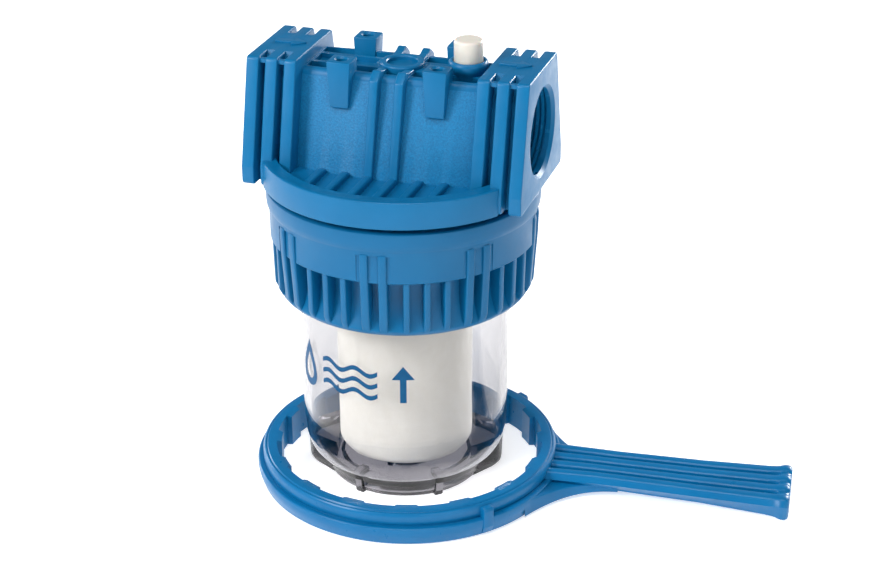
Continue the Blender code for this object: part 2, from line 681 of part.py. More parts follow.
blue_plastic = new_material("blue_plastic", BLUE, 0.42)
nut_plastic = new_material("nut_plastic", BLUE, 0.38)
wrench_plastic = new_material("wrench_plastic", (0.015, 0.170, 0.460, 1.0), 0.40)
clear_plastic = new_material("clear_plastic", (0.86, 0.88, 0.93, 1.0), 0.05, transmission=0.9)
white_felt = new_material("white_felt", (0.86, 0.84, 0.80, 1.0), 0.95)
core_plastic = new_material("core_plastic", (0.82, 0.82, 0.80, 1.0), 0.45)
vent_plastic = new_material("vent_plastic", (0.88, 0.85, 0.78, 1.0), 0.35)
seal_rubber = new_material("seal_rubber", (0.02, 0.02, 0.02, 1.0), 0.60)
vent_seal_rubber = new_material("vent_seal_rubber", (0.02, 0.02, 0.02, 1.0), 0.60)

make_head(blue_plastic)
make_nut(nut_plastic)
make_bowl(clear_plastic)
finish(ring(BOWL_ORING_RADIUS, BOWL_ORING_THICKNESS / 2.0, 125.7, (0.0, 0.0), 6, 48),
       "bowl_oring", seal_rubber)
make_media(white_felt)
make_core(core_plastic)
make_vent_screw(vent_plastic)
finish(ring(3.8, 0.8, 200.8, (VENT_X, 0.0), 6, 16), "vent_oring", vent_seal_rubber, (VENT_X, 0.0, 0.0))
make_wrench(wrench_plastic)
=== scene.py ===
"""The looks of the clear-bowl cartridge filter housing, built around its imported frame.

Every visible piece is modelled here at full detail and stands for its plain CAD node.
Sizes below are millimetres in the frame's own axes, and MM turns them into metres.
"""
import math

import bmesh
import bpy
from mathutils import Matrix, Vector


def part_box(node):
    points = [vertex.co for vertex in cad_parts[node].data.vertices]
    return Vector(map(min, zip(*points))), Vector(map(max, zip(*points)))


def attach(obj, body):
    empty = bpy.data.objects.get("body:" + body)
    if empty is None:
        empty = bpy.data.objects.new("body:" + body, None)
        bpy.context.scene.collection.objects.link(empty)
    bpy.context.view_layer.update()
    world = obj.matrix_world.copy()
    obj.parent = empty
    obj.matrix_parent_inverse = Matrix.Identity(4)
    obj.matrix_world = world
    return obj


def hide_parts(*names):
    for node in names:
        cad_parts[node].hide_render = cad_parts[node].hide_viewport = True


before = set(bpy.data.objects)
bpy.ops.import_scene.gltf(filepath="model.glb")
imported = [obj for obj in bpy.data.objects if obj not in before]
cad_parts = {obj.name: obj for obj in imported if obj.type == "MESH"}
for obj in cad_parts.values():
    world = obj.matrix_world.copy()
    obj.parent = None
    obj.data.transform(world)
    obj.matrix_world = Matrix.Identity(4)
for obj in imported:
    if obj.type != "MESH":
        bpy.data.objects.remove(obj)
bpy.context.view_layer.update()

MM = 0.001


def node_box(name):
    """A CAD node's lowest and highest corners, in millimetres."""
    low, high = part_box(name)
    return low / MM, high / MM


HEAD_LOW, HEAD_HIGH = node_box("head")
NUT_LOW, NUT_HIGH = node_box("locking_nut")
MEDIA_LOW, MEDIA_HIGH = node_box("filter_media")
CORE_LOW, CORE_HIGH = node_box("filter_core")
VENT_LOW, VENT_HIGH = node_box("vent_screw")

# Head
END_X = HEAD_HIGH.x
BLOCK_TOP = 206.3
BLOCK_FOOT = 149.4
TOP_HALF_DEPTH = 23.2
FOOT_HALF_DEPTH = 34.4
SLANT_FOOT = 158.0
BLOCK_INNER = 41.5
RIB_BANDS = ((41.5, 47.1), (50.4, 56.0), (59.1, END_X))
SLOT_BANDS = ((47.1, 50.4), (56.0, 59.1))
BLOCK_MIDDLE = 52.5              # where the flow marks stand
PANEL_TOP = 201.0
PANEL_HALF_LENGTH = BLOCK_INNER + 1.5
# Each panel is bowed: its depths at the edge and in the middle, at its foot and at its shoulder
PANEL_FOOT_DEPTHS = (25.3, 30.4)
PANEL_SHOULDER = 196.2
PANEL_SHOULDER_DEPTHS = (16.5, 18.1)
PORT_Z = 176.8
PORT_RADIUS = 19.5
PORT_DEPTH = 27.0
PORT_PITCH = 2.309
THREAD_DEPTH = 1.48
BAR_X = 5.85
BAR_WIDTH = 4.1
POST_X = 22.1
POST_Y = 17.7
POST_TOP = HEAD_HIGH.z
POST_HOLE_RADIUS = 2.5
POST_HOLE_DEPTH = 14.0
APRON_RADIUS = 64.7
APRON_HALF_LENGTH = 54.6
APRON_WALL = 2.8
APRON_RIM_RADIUS = 58.2
APRON_FLOOR = 157.2
APRON_TOP = 161.7
APRON_FOOT = 149.0
APRON_RIBS = 6
APRON_RIB_PITCH = 11.4
APRON_RIB_WIDTH = 4.0
NECK_FOOT = HEAD_LOW.z
NECK_ROOT_RADIUS = 57.0
NECK_CREST_RADIUS = 58.6
NECK_BORE_RADIUS = 51.0
CHAMBER_TOP = 145.0
SPIGOT_BORE = 9.0
SPIGOT_FOOT = 128.0
NUT_PITCH = 5.0                   # the neck's and the nut's thread
NUT_THREAD_TURNS = 3

# Vent
VENT_X = (VENT_LOW.x + VENT_HIGH.x) / 2.0
VENT_SEAT = 204.3
VENT_BOSS_TOP = 206.8
VENT_HOLE_RADIUS = 4.9
KNOB_RADIUS = (VENT_HIGH.x - VENT_LOW.x) / 2.0

# Locking nut
NUT_TOP = NUT_HIGH.z
NUT_FOOT = NUT_LOW.z
NUT_RADIUS = NUT_HIGH.x
NUT_BAND_FOOT = 121.8
NUT_RIB_TOP = 135.4
NUT_WALL_RADIUS = 54.6
NUT_BORE_RADIUS = 59.0
NUT_LIP_RADIUS = 50.8
NUT_SHELF = 122.6
NUT_PAIRS = 8                     # pairs of long ribs, with short ones between
NUT_PAIR_PITCH = 360.0 / NUT_PAIRS
NUT_ANGLE = 5.8

# Bowl
BOWL_RADIUS = 48.8
BOWL_BORE = 45.6
BOWL_FLANGE_RADIUS = 57.5
BOWL_FLANGE_FOOT = 122.9
SEAL_RADIUS = 53.5
SEAL_THICKNESS = 3.0
SEAL_HEIGHT = 125.7
BOWL_TOP = node_box("bowl")[1].z
LOBE_ANGLE = 14.5
RIB_ANGLES = (74.3, 131.6, 254.3, 311.6)

# Cartridge
MEDIA_BORE = 15.6
CORE_RADIUS = 15.3
CORE_BORE = 13.8

# Wrench
RING_X, RING_Y = 4.0, -6.6
WRENCH_ANGLE = 5.8
RING_TOP = node_box("wrench")[1].z
FLANGE_RADIUS = 72.75
LUG_RADIUS = 61.2
NOTCH_RADIUS = 63.6
NOTCHES = 16
NOTCH_HALF_ANGLE = 6.6
TAB_ANGLES = (-48.0, 50.5)

# Stage, in metres
LIGHT_TARGET = Vector((0.0, 0.0, 0.1))


# ---------------------------------------------------------------- mesh helpers

def link(obj):
    bpy.context.scene.collection.objects.link(obj)
    bpy.context.view_layer.update()
    return obj


def mesh_object(name, bm):
    mesh = bpy.data.meshes.new(name)
    bm.to_mesh(mesh)
    bm.free()
    return link(bpy.data.objects.new(name, mesh))


def solid(obj, fill=False):
    """obj's evaluated shape as a plain mesh object in world space; obj is removed."""
    bpy.context.view_layer.update()
    depsgraph = bpy.context.evaluated_depsgraph_get()
    mesh = bpy.data.meshes.new_from_object(obj.evaluated_get(depsgraph))
    mesh.transform(obj.matrix_world)
    name = obj.name
    bpy.data.objects.remove(obj, do_unlink=True)
    bm = bmesh.new()
    bm.from_mesh(mesh)
    bmesh.ops.remove_doubles(bm, verts=bm.verts, dist=0.00001)
    bmesh.ops.dissolve_degenerate(bm, edges=bm.edges, dist=0.000005)
    loose = [e for e in bm.edges if not e.link_faces]
    bmesh.ops.delete(bm, geom=loose, context="EDGES")
    if fill:
        bmesh.ops.holes_fill(bm, edges=bm.edges)
    bmesh.ops.recalc_face_normals(bm, faces=bm.faces)
    bm.to_mesh(mesh)
    bm.free()
    return link(bpy.data.objects.new(name, mesh))


def rounded(outline, radius, steps=3, keep=()):
    """A closed outline with its corners rounded, apart from the corners whose index is in keep."""
    points = [Vector(p) for p in outline]
    count = len(points)
    result = []
    for i, corner in enumerate(points):
        before = points[i - 1] - corner
        after = points[(i + 1) % count] - corner
        reach = min(before.length, after.length) * 0.45
        if i in keep or before.length < 1e-6 or after.length < 1e-6:
            result.append(tuple(corner))
            continue
        half = before.angle(after) / 2.0
        if half > math.radians(86.0):
            result.append(tuple(corner))
            continue
        cut = min(radius / math.tan(half), reach)
        size = cut * math.tan(half)
        bisector = (before.normalized() + after.normalized()).normalized()
        centre = corner + bisector * (size / math.sin(half))
        start = corner + before.normalized() * cut - centre
        end = corner + after.normalized() * cut - centre
        for step in range(steps + 1):
            blend = start.lerp(end, step / steps).normalized() * size
            result.append(tuple(centre + blend))
    return result


def arc(radius, start, end, steps):
    angles = [math.radians(start + (end - start) * i / steps) for i in range(steps + 1)]
    return [(radius * math.cos(a), radius * math.sin(a)) for a in angles]


def turned(outline, steps=96, centre=(0.0, 0.0), closed=True, pitch=0.0, turns=1):
    """A turned solid, or a helical one where pitch is set, from (radius, height) points."""
    bm = bmesh.new()
    verts = [bm.verts.new((r * MM, 0.0, z * MM)) for r, z in outline]
    for first, second in zip(verts, verts[1:]):
        bm.edges.new((first, second))
    if closed:
        bm.edges.new((verts[-1], verts[0]))
    obj = mesh_object("turned", bm)
    obj.location = (centre[0] * MM, centre[1] * MM, 0.0)
    screw = obj.modifiers.new("turn", "SCREW")
    screw.steps = steps
    screw.render_steps = steps
    screw.screw_offset = pitch * MM
    screw.iterations = turns
    screw.use_merge_vertices = pitch == 0.0
    screw.merge_threshold = 0.00001
    return solid(obj, fill=pitch != 0.0)


def extruded(outline, thickness, matrix, edge=0.0):
    """A flat outline with a thickness along its normal and rounded rims, placed by matrix."""
    curve = bpy.data.curves.new("outline", "CURVE")
    curve.dimensions = "2D"
    curve.fill_mode = "BOTH"
    curve.extrude = (thickness / 2.0 - edge) * MM
    curve.bevel_depth = edge * MM
    curve.bevel_resolution = 2 if edge > 0.35 else 1
    curve.offset = -edge * MM
    spline = curve.splines.new("POLY")
    spline.points.add(len(outline) - 1)
    for point, (u, v) in zip(spline.points, outline):
        point.co = (u * MM, v * MM, 0.0, 1.0)
    spline.use_cyclic_u = True
    obj = link(bpy.data.objects.new("extruded", curve))
    placed = matrix.copy()
    placed.translation = placed.translation * MM
    obj.matrix_world = placed
    return solid(obj)


def along_x(outline_yz, low, high, edge=0.0):
    matrix = Matrix(((0, 0, 1, (low + high) / 2.0), (1, 0, 0, 0), (0, 1, 0, 0), (0, 0, 0, 1)))
    return extruded(outline_yz, high - low, matrix, edge)


def along_z(outline_xy, low, high, edge=0.0):
    return extruded(outline_xy, high - low, Matrix.Translation((0, 0, (low + high) / 2.0)), edge)


def radial_slab(outline_rz, width, angle, edge=0.0):
    lay_upright = Matrix(((1, 0, 0, 0), (0, 0, -1, 0), (0, 1, 0, 0), (0, 0, 0, 1)))
    turn = Matrix.Rotation(math.radians(angle), 4, "Z")
    return extruded(outline_rz, width, turn @ lay_upright, edge)


def cylinder(radius, low, high, centre=(0.0, 0.0), segments=48):
    bm = bmesh.new()
    place = Matrix.Translation((centre[0] * MM, centre[1] * MM, (low + high) / 2.0 * MM))
    bmesh.ops.create_cone(bm, cap_ends=True, segments=segments, radius1=radius * MM,
                          radius2=radius * MM, depth=(high - low) * MM, matrix=place)
    return mesh_object("cylinder", bm)


def box(low, high):
    bm = bmesh.new()
    size = [(high[i] - low[i]) * MM for i in range(3)]
    middle = [(high[i] + low[i]) / 2.0 * MM for i in range(3)]
    bmesh.ops.create_cube(bm, size=1.0, matrix=Matrix.Translation(middle) @ Matrix.Diagonal((*size, 1.0)))
    return mesh_object("box", bm)


def loft(sections):
    """A solid through sections of equal point counts, each a list of (x, y, z)."""
    bm = bmesh.new()
    rings = [[bm.verts.new(Vector(p) * MM) for p in section] for section in sections]
    count = len(rings[0])
    for lower, upper in zip(rings, rings[1:]):
        for i in range(count):
            j = (i + 1) % count
            bm.faces.new((lower[i], lower[j], upper[j]))
            bm.faces.new((lower[i], upper[j], upper[i]))
    bm.faces.new(list(reversed(rings[0])))
    bm.faces.new(rings[-1])
    bmesh.ops.recalc_face_normals(bm, faces=bm.faces)
    return mesh_object("loft", bm)


def boolean(target, operation, operands):
    """Join operands to target or cut them away in one exact Boolean, and return the result."""
    group = bpy.data.collections.new("operands")
    bpy.context.scene.collection.children.link(group)
    for operand in operands:
        for owner in list(operand.users_collection):
            owner.objects.unlink(operand)
        group.objects.link(operand)
    modifier = target.modifiers.new("boolean", "BOOLEAN")
    modifier.operation = operation
    modifier.operand_type = "COLLECTION"
    modifier.collection = group
    modifier.solver = "EXACT"
    result = solid(target)
    for operand in operands:
        bpy.data.objects.remove(operand, do_unlink=True)
    bpy.data.collections.remove(group)
    return result


def piece(obj, name, material, body, nodes=(), smooth_angle=32.0):
    """Name a finished piece, give it its material and let it ride on its body."""
    obj.name = name
    obj.data.name = name
    if obj.type == "MESH":
        if material is not None:
            obj.data.materials.clear()
            obj.data.materials.append(material)
        obj.data.shade_smooth()
        obj.data.set_sharp_from_angle(angle=math.radians(smooth_angle))
    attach(obj, body)
    if nodes:
        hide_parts(*nodes)
    return obj


# ---------------------------------------------------------------- materials

class Nodes:
    """A small helper that adds shader nodes and links them."""

    def __init__(self, name):
        self.material = bpy.data.materials.new(name)
        self.material.use_nodes = True
        self.tree = self.material.node_tree
        self.shader = self.tree.nodes["Principled BSDF"]
        coordinates = self.tree.nodes.new("ShaderNodeTexCoord")
        self.place = coordinates.outputs["Object"]

    def link(self, output, target):
        self.tree.links.new(output, target)

    def noise(self, scale, detail=3.0, roughness=0.5, stretch=(1.0, 1.0, 1.0)):
        mapping = self.tree.nodes.new("ShaderNodeMapping")
        mapping.inputs["Scale"].default_value = stretch
        self.link(self.place, mapping.inputs["Vector"])
        node = self.tree.nodes.new("ShaderNodeTexNoise")
        node.inputs["Scale"].default_value = scale
        node.inputs["Detail"].default_value = detail
        node.inputs["Roughness"].default_value = roughness
        self.link(mapping.outputs["Vector"], node.inputs["Vector"])
        return node.outputs["Fac"]

    def cells(self, scale, feature="F1"):
        node = self.tree.nodes.new("ShaderNodeTexVoronoi")
        node.feature = feature
        node.inputs["Scale"].default_value = scale
        self.link(self.place, node.inputs["Vector"])
        return node.outputs["Distance"]

    def spread(self, value, low, high, from_low=0.3, from_high=0.7):
        node = self.tree.nodes.new("ShaderNodeMapRange")
        node.inputs["From Min"].default_value = from_low
        node.inputs["From Max"].default_value = from_high
        node.inputs["To Min"].default_value = low
        node.inputs["To Max"].default_value = high
        self.link(value, node.inputs["Value"])
        return node.outputs["Result"]

    def height(self):
        node = self.tree.nodes.new("ShaderNodeSeparateXYZ")
        self.link(self.place, node.inputs["Vector"])
        return node.outputs["Z"]

    def add(self, first, second):
        node = self.tree.nodes.new("ShaderNodeMath")
        self.link(first, node.inputs[0])
        self.link(second, node.inputs[1])
        return node.outputs["Value"]

    def mix(self, factor, first, second):
        node = self.tree.nodes.new("ShaderNodeMix")
        node.data_type = "RGBA"
        self.link(factor, node.inputs["Factor"])
        node.inputs["A"].default_value = first
        node.inputs["B"].default_value = second
        return node.outputs["Result"]

    def bump(self, heights):
        """Chained bumps from (height, strength, distance in millimetres)."""
        normal = None
        for height, strength, distance in heights:
            node = self.tree.nodes.new("ShaderNodeBump")
            node.inputs["Strength"].default_value = strength
            node.inputs["Distance"].default_value = distance * MM
            self.link(height, node.inputs["Height"])
            if normal is not None:
                self.link(normal, node.inputs["Normal"])
            normal = node.outputs["Normal"]
        self.link(normal, self.shader.inputs["Normal"])


def blue_plastic(name, colour, darker, roughness, coat=0.0):
    """Moulded blue plastic: faint mottling, uneven gloss and a fine moulded grain."""
    nodes = Nodes(name)
    nodes.link(nodes.mix(nodes.spread(nodes.noise(55.0, 4.0), 0.0, 1.0), colour, darker),
               nodes.shader.inputs["Base Color"])
    nodes.link(nodes.spread(nodes.noise(160.0, 5.0, 0.6), roughness - 0.06, roughness + 0.07),
               nodes.shader.inputs["Roughness"])
    nodes.shader.inputs["Specular IOR Level"].default_value = 0.24
    nodes.shader.inputs["Coat Weight"].default_value = coat
    nodes.shader.inputs["Coat Roughness"].default_value = 0.25
    nodes.bump([(nodes.noise(90.0, 1.0), 0.20, 0.12),
                (nodes.noise(450.0, 2.0, 0.5), 0.04, 0.06)])
    return nodes.material


def panel_plastic_painted_light(colour, darker):
    """The head's recessed panels have a coarse leathery grain, and their blue is lighter than the rest of
    the head's: painted light that lifts the shade in the recess.
    """
    nodes = Nodes("head_panel_grain_painted_light")
    nodes.link(nodes.mix(nodes.spread(nodes.noise(1300.0, 4.0, 0.7), 0.0, 1.0, 0.38, 0.62), colour, darker),
               nodes.shader.inputs["Base Color"])
    nodes.link(nodes.spread(nodes.noise(420.0, 4.0), 0.40, 0.58), nodes.shader.inputs["Roughness"])
    nodes.shader.inputs["Specular IOR Level"].default_value = 0.35
    nodes.bump([(nodes.noise(90.0, 3.0), 0.25, 0.12), (nodes.cells(900.0), 0.55, 0.12),
                (nodes.noise(1100.0, 4.0, 0.6), 0.6, 0.12)])
    return nodes.material


def clear_plastic():
    """Clear moulded plastic with a grey cast, deeper where it is thick and in the dull foot."""
    nodes = Nodes("clear_bowl_plastic")
    nodes.link(nodes.mix(nodes.spread(nodes.height(), 1.0, 0.0, 0.010, 0.026),
                         (0.94, 0.94, 0.94, 1.0), (0.72, 0.71, 0.74, 1.0)),
               nodes.shader.inputs["Base Color"])
    nodes.shader.inputs["Transmission Weight"].default_value = 1.0
    nodes.shader.inputs["IOR"].default_value = 1.47
    nodes.link(nodes.add(nodes.spread(nodes.noise(45.0, 3.0), 0.0, 0.04),
                         nodes.spread(nodes.height(), 0.10, 0.0, 0.010, 0.026)),
               nodes.shader.inputs["Roughness"])
    nodes.bump([(nodes.noise(38.0, 2.0, 0.4, (1.0, 1.0, 0.25)), 0.20, 0.10)])
    absorb = nodes.tree.nodes.new("ShaderNodeVolumeAbsorption")
    absorb.inputs["Color"].default_value = (0.54, 0.53, 0.56, 1.0)
    absorb.inputs["Density"].default_value = 155.0
    output = nodes.tree.nodes["Material Output"]
    nodes.link(absorb.outputs["Volume"], output.inputs["Volume"])
    clear = nodes.tree.nodes.new("ShaderNodeBsdfTransparent")
    clear.inputs["Color"].default_value = (0.99, 0.99, 0.985, 1.0)
    path = nodes.tree.nodes.new("ShaderNodeLightPath")
    mix = nodes.tree.nodes.new("ShaderNodeMixShader")
    nodes.link(path.outputs["Is Shadow Ray"], mix.inputs[0])
    nodes.link(nodes.shader.outputs["BSDF"], mix.inputs[1])
    nodes.link(clear.outputs["BSDF"], mix.inputs[2])
    nodes.link(mix.outputs["Shader"], output.inputs["Surface"])
    return nodes.material


def felt():
    nodes = Nodes("white_felt")
    nodes.link(nodes.mix(nodes.spread(nodes.noise(260.0, 6.0, 0.7), 0.0, 1.0),
                         (0.95, 0.93, 0.85, 1.0), (0.90, 0.87, 0.77, 1.0)),
               nodes.shader.inputs["Base Color"])
    nodes.shader.inputs["Specular IOR Level"].default_value = 0.15
    nodes.shader.inputs["Sheen Weight"].default_value = 0.35
    nodes.shader.inputs["Sheen Roughness"].default_value = 0.6
    nodes.link(nodes.spread(nodes.noise(500.0, 3.0), 0.85, 1.0), nodes.shader.inputs["Roughness"])
    nodes.bump([(nodes.noise(110.0, 3.0, 0.5), 0.5, 0.5),
                (nodes.noise(700.0, 6.0, 0.75, (1.0, 1.0, 0.45)), 0.7, 0.25),
                (nodes.noise(2200.0, 4.0, 0.7, (1.0, 1.0, 0.3)), 0.5, 0.10)])
    return nodes.material


def pale_plastic(name, colour, darker, roughness, subsurface):
    nodes = Nodes(name)
    nodes.link(nodes.mix(nodes.spread(nodes.noise(180.0, 4.0), 0.0, 1.0), colour, darker),
               nodes.shader.inputs["Base Color"])
    nodes.link(nodes.spread(nodes.noise(240.0, 4.0), roughness - 0.05, roughness + 0.08),
               nodes.shader.inputs["Roughness"])
    nodes.shader.inputs["Subsurface Weight"].default_value = subsurface
    nodes.shader.inputs["Subsurface Scale"].default_value = 0.004
    nodes.bump([(nodes.noise(900.0, 4.0), 0.25, 0.05)])
    return nodes.material


def rubber():
    nodes = Nodes("seal_rubber")
    nodes.link(nodes.mix(nodes.spread(nodes.noise(300.0, 4.0), 0.0, 1.0),
                         (0.018, 0.018, 0.019, 1.0), (0.035, 0.035, 0.034, 1.0)),
               nodes.shader.inputs["Base Color"])
    nodes.link(nodes.spread(nodes.noise(500.0, 4.0), 0.45, 0.65), nodes.shader.inputs["Roughness"])
    nodes.bump([(nodes.noise(1300.0, 4.0), 0.3, 0.04)])
    return nodes.material


def print_ink():
    nodes = Nodes("blue_ink")
    nodes.link(nodes.mix(nodes.spread(nodes.noise(400.0, 4.0), 0.0, 1.0),
                         (0.002, 0.065, 0.170, 1.0), (0.003, 0.080, 0.200, 1.0)),
               nodes.shader.inputs["Base Color"])
    nodes.link(nodes.spread(nodes.noise(700.0, 4.0), 0.40, 0.55), nodes.shader.inputs["Roughness"])
    nodes.shader.inputs["Specular IOR Level"].default_value = 0.15
    nodes.bump([(nodes.noise(1500.0, 3.0), 0.2, 0.03)])
    return nodes.material


def floor_paint():
    """A pale floor, lit a little from within as a light table is."""
    nodes = Nodes("pale_floor")
    nodes.link(nodes.mix(nodes.spread(nodes.noise(4.0, 2.0), 0.0, 1.0),
                         (0.86, 0.86, 0.86, 1.0), (0.84, 0.84, 0.84, 1.0)),
               nodes.shader.inputs["Base Color"])
    nodes.shader.inputs["Roughness"].default_value = 0.9
    nodes.shader.inputs["Specular IOR Level"].default_value = 0.1
    nodes.shader.inputs["Emission Color"].default_value = (1.0, 1.0, 1.0, 1.0)
    nodes.shader.inputs["Emission Strength"].default_value = 0.58
    return nodes.material


# ---------------------------------------------------------------- head

def both_sides(side):
    """A closed YZ outline from one side's (half depth, height) points, listed downwards."""
    return [(y, z) for y, z in side] + [(-y, z) for y, z in reversed(side)]


def head_ribs():
    side = [(TOP_HALF_DEPTH, BLOCK_TOP), (FOOT_HALF_DEPTH, SLANT_FOOT), (FOOT_HALF_DEPTH, BLOCK_FOOT)]
    outline = rounded(both_sides(side), 2.0, 4)
    ribs = []
    for low, high in RIB_BANDS:
        ribs.append(along_x(outline, low, high, 0.75))
        ribs.append(along_x(outline, -high, -low, 0.75))
    return ribs


def slot_bridges():
    """Low bridges that close each slot's mouth at the block's upper front edge."""
    bridges = []
    for low, high in SLOT_BANDS:
        for side in (-1, 1):
            x_low, x_high = sorted((side * (low - 0.5), side * (high + 0.5)))
            bridges.append(box((x_low, -22.0, 203.4), (x_high, -19.6, 205.2)))
    return bridges


def end_block_cores():
    side = [(12.2, BLOCK_TOP - 0.02), (18.0, 196.0), (21.8, PORT_Z), (27.1, BLOCK_FOOT + 0.02)]
    outline = both_sides(side)
    low, high = BLOCK_INNER + 0.9, END_X - 1.2
    return [along_x(outline, low, high), along_x(outline, -high, -low)]


def panel_depth(edge_depth, middle_depth, x):
    return edge_depth + (middle_depth - edge_depth) * (1.0 - (x / PANEL_HALF_LENGTH) ** 2)


def panel_section(edge_depth, middle_depth, height, steps=28):
    half = PANEL_HALF_LENGTH
    xs = [-half + 2.0 * half * i / steps for i in range(steps + 1)]
    front = [(x, -panel_depth(edge_depth, middle_depth, x)) for x in xs]
    rear = [(x, -y) for x, y in reversed(front)]
    return [(x, y, height) for x, y in front + rear]


def head_middle():
    """The middle section, rounded over at the top and pocketed into a lattice."""
    levels = ((26.4, 31.0, BLOCK_FOOT), (*PANEL_FOOT_DEPTHS, SLANT_FOOT),
              (*PANEL_SHOULDER_DEPTHS, PANEL_SHOULDER), (16.1, 17.6, 198.0), (15.7, 17.2, 199.2),
              (15.0, 16.5, 200.3), (14.2, 15.7, 200.85), (13.4, 14.9, PANEL_TOP))
    middle = loft([panel_section(*level) for level in levels])
    inner = BAR_X - BAR_WIDTH / 2.0 - 0.3
    outer = BAR_X + BAR_WIDTH / 2.0 + 0.3
    above = PANEL_TOP + 5.0
    pockets = []
    for facing in (-1, 1):
        near, far = sorted((6.8 * facing, 13.2 * facing))
        pockets.append(box((outer, near, 190.0), (40.6, far, above)))
        pockets.append(box((-40.6, near, 190.0), (-outer, far, above)))
        near, far = sorted((9.0 * facing, 13.8 * facing))
        pockets.append(box((-inner, near, 192.0), (inner, far, above)))
    for x_low, x_high in ((-40.0, -27.0), (-24.5, -12.0), (12.0, 20.5)):
        pockets.append(box((x_low, -4.6, 198.8), (x_high, 4.6, above)))
    return boolean(middle, "DIFFERENCE", pockets)


def upright_bars():
    """Two bars on each face of the middle, from the ring on top down to the apron."""
    foot = BLOCK_FOOT + 0.03
    side = [(6.5, 202.0), (13.5, 202.6), (17.6, 203.9), (22.4, 200.2), (32.8, SLANT_FOOT),
            (32.8, foot), (24.0, foot), (15.0, 196.0), (6.5, 196.0)]
    bars = []
    for x in (-BAR_X, BAR_X):
        for facing in (-1, 1):
            corner = rounded(side, 1.8, 4, keep=(0, 5, 6, 7, 8))
            outline = [(facing * y, z) for y, z in corner]
            bars.append(along_x(outline, x - BAR_WIDTH / 2.0, x + BAR_WIDTH / 2.0, 0.7))
    return bars


def bracket_posts():
    """Four posts that widen upwards, from (height, half width, inset) levels."""
    posts = []
    levels = ((186.0, 3.9, 0.5), (186.6, 4.35, 0.0), (206.5, 5.5, 0.0), (207.15, 5.3, 0.2),
              (POST_TOP, 4.75, 0.75))
    for x in (-POST_X, POST_X):
        for facing in (-1, 1):
            sections = []
            for height, half, inset in levels:
                near = (22.9 - inset) * facing
                far = (12.4 + inset) * facing
                corners = [(x - half, far), (x - half, near), (x + half, near), (x + half, far)]
                sections.append([(u, v, height) for u, v in rounded(corners, 0.7, 2)])
            posts.append(loft(sections))
    return posts


def apron():
    """The skirt over the nut at front and rear: broad rim, floor and six low ribs each side."""
    middle = APRON_RADIUS - APRON_WALL / 2.0
    end = math.degrees(math.acos(APRON_HALF_LENGTH / APRON_RADIUS))
    inner = APRON_RADIUS - APRON_WALL
    inner_end = math.degrees(math.acos(APRON_HALF_LENGTH / inner))
    rim_end = math.degrees(math.acos(APRON_HALF_LENGTH / APRON_RIM_RADIUS))
    floor = arc(middle, end, 180.0 - end, 40) + arc(middle, 180.0 + end, 360.0 - end, 40)
    pieces = [along_z(floor, APRON_FLOOR - 2.8, APRON_FLOOR)]
    for turn in (0.0, 180.0):
        outer = arc(APRON_RADIUS, turn + end, turn + 180.0 - end, 56)
        pieces.append(along_z(outer + arc(inner, turn + 180.0 - inner_end, turn + inner_end, 56),
                              APRON_FOOT, APRON_TOP, 0.7))
        outer = arc(middle, turn + end, turn + 180.0 - end, 56)
        pieces.append(along_z(outer + arc(APRON_RIM_RADIUS, turn + 180.0 - rim_end, turn + rim_end, 56),
                              APRON_FLOOR - 1.4, APRON_TOP - 0.02, 0.0))
    for i in range(APRON_RIBS):
        x = (i - (APRON_RIBS - 1) / 2.0) * APRON_RIB_PITCH
        reach = math.sqrt(APRON_RIM_RADIUS ** 2 - x * x) + 0.9
        side = [(26.0, 158.6), (30.0, 159.3), (33.0, 159.7), (reach, 160.5), (reach, 155.0),
                (26.0, 155.0)]
        for facing in (-1, 1):
            outline = [(facing * y, z) for y, z in side]
            pieces.append(along_x(outline, x - APRON_RIB_WIDTH / 2.0, x + APRON_RIB_WIDTH / 2.0, 1.1))
    return pieces


def top_bosses():
    """The blank port's ring, the vent's cupped boss and the small pip between them."""
    blank_port = turned([(8.9, 203.2), (9.5, 203.0), (9.9, 202.4), (10.0, 200.0), (10.0, 185.0),
                         (6.9, 185.0),
                         (6.9, 202.4), (7.3, 203.0), (7.9, 203.2)], 64)
    vent = turned([(7.6, VENT_BOSS_TOP), (8.1, VENT_BOSS_TOP - 0.15), (8.6, VENT_BOSS_TOP - 0.7),
                   (8.85, VENT_BOSS_TOP - 1.6), (8.8, 204.0), (8.4, 202.6), (7.8, 201.4), (7.4, 200.0),
                   (7.3, 185.0), (6.9, 185.0), (6.9, VENT_BOSS_TOP - 0.5), (7.1, VENT_BOSS_TOP - 0.1)], 64,
                  (VENT_X, 0.0))
    pip = turned([(0.0, 199.4), (1.6, 199.4), (2.4, 198.6), (2.6, 190.0), (0.0, 190.0)], 24, closed=False)
    return [blank_port, vent, pip, cylinder(7.2, 180.0, 195.6),
            cylinder(7.1, 185.0, VENT_SEAT, (VENT_X, 0.0))]


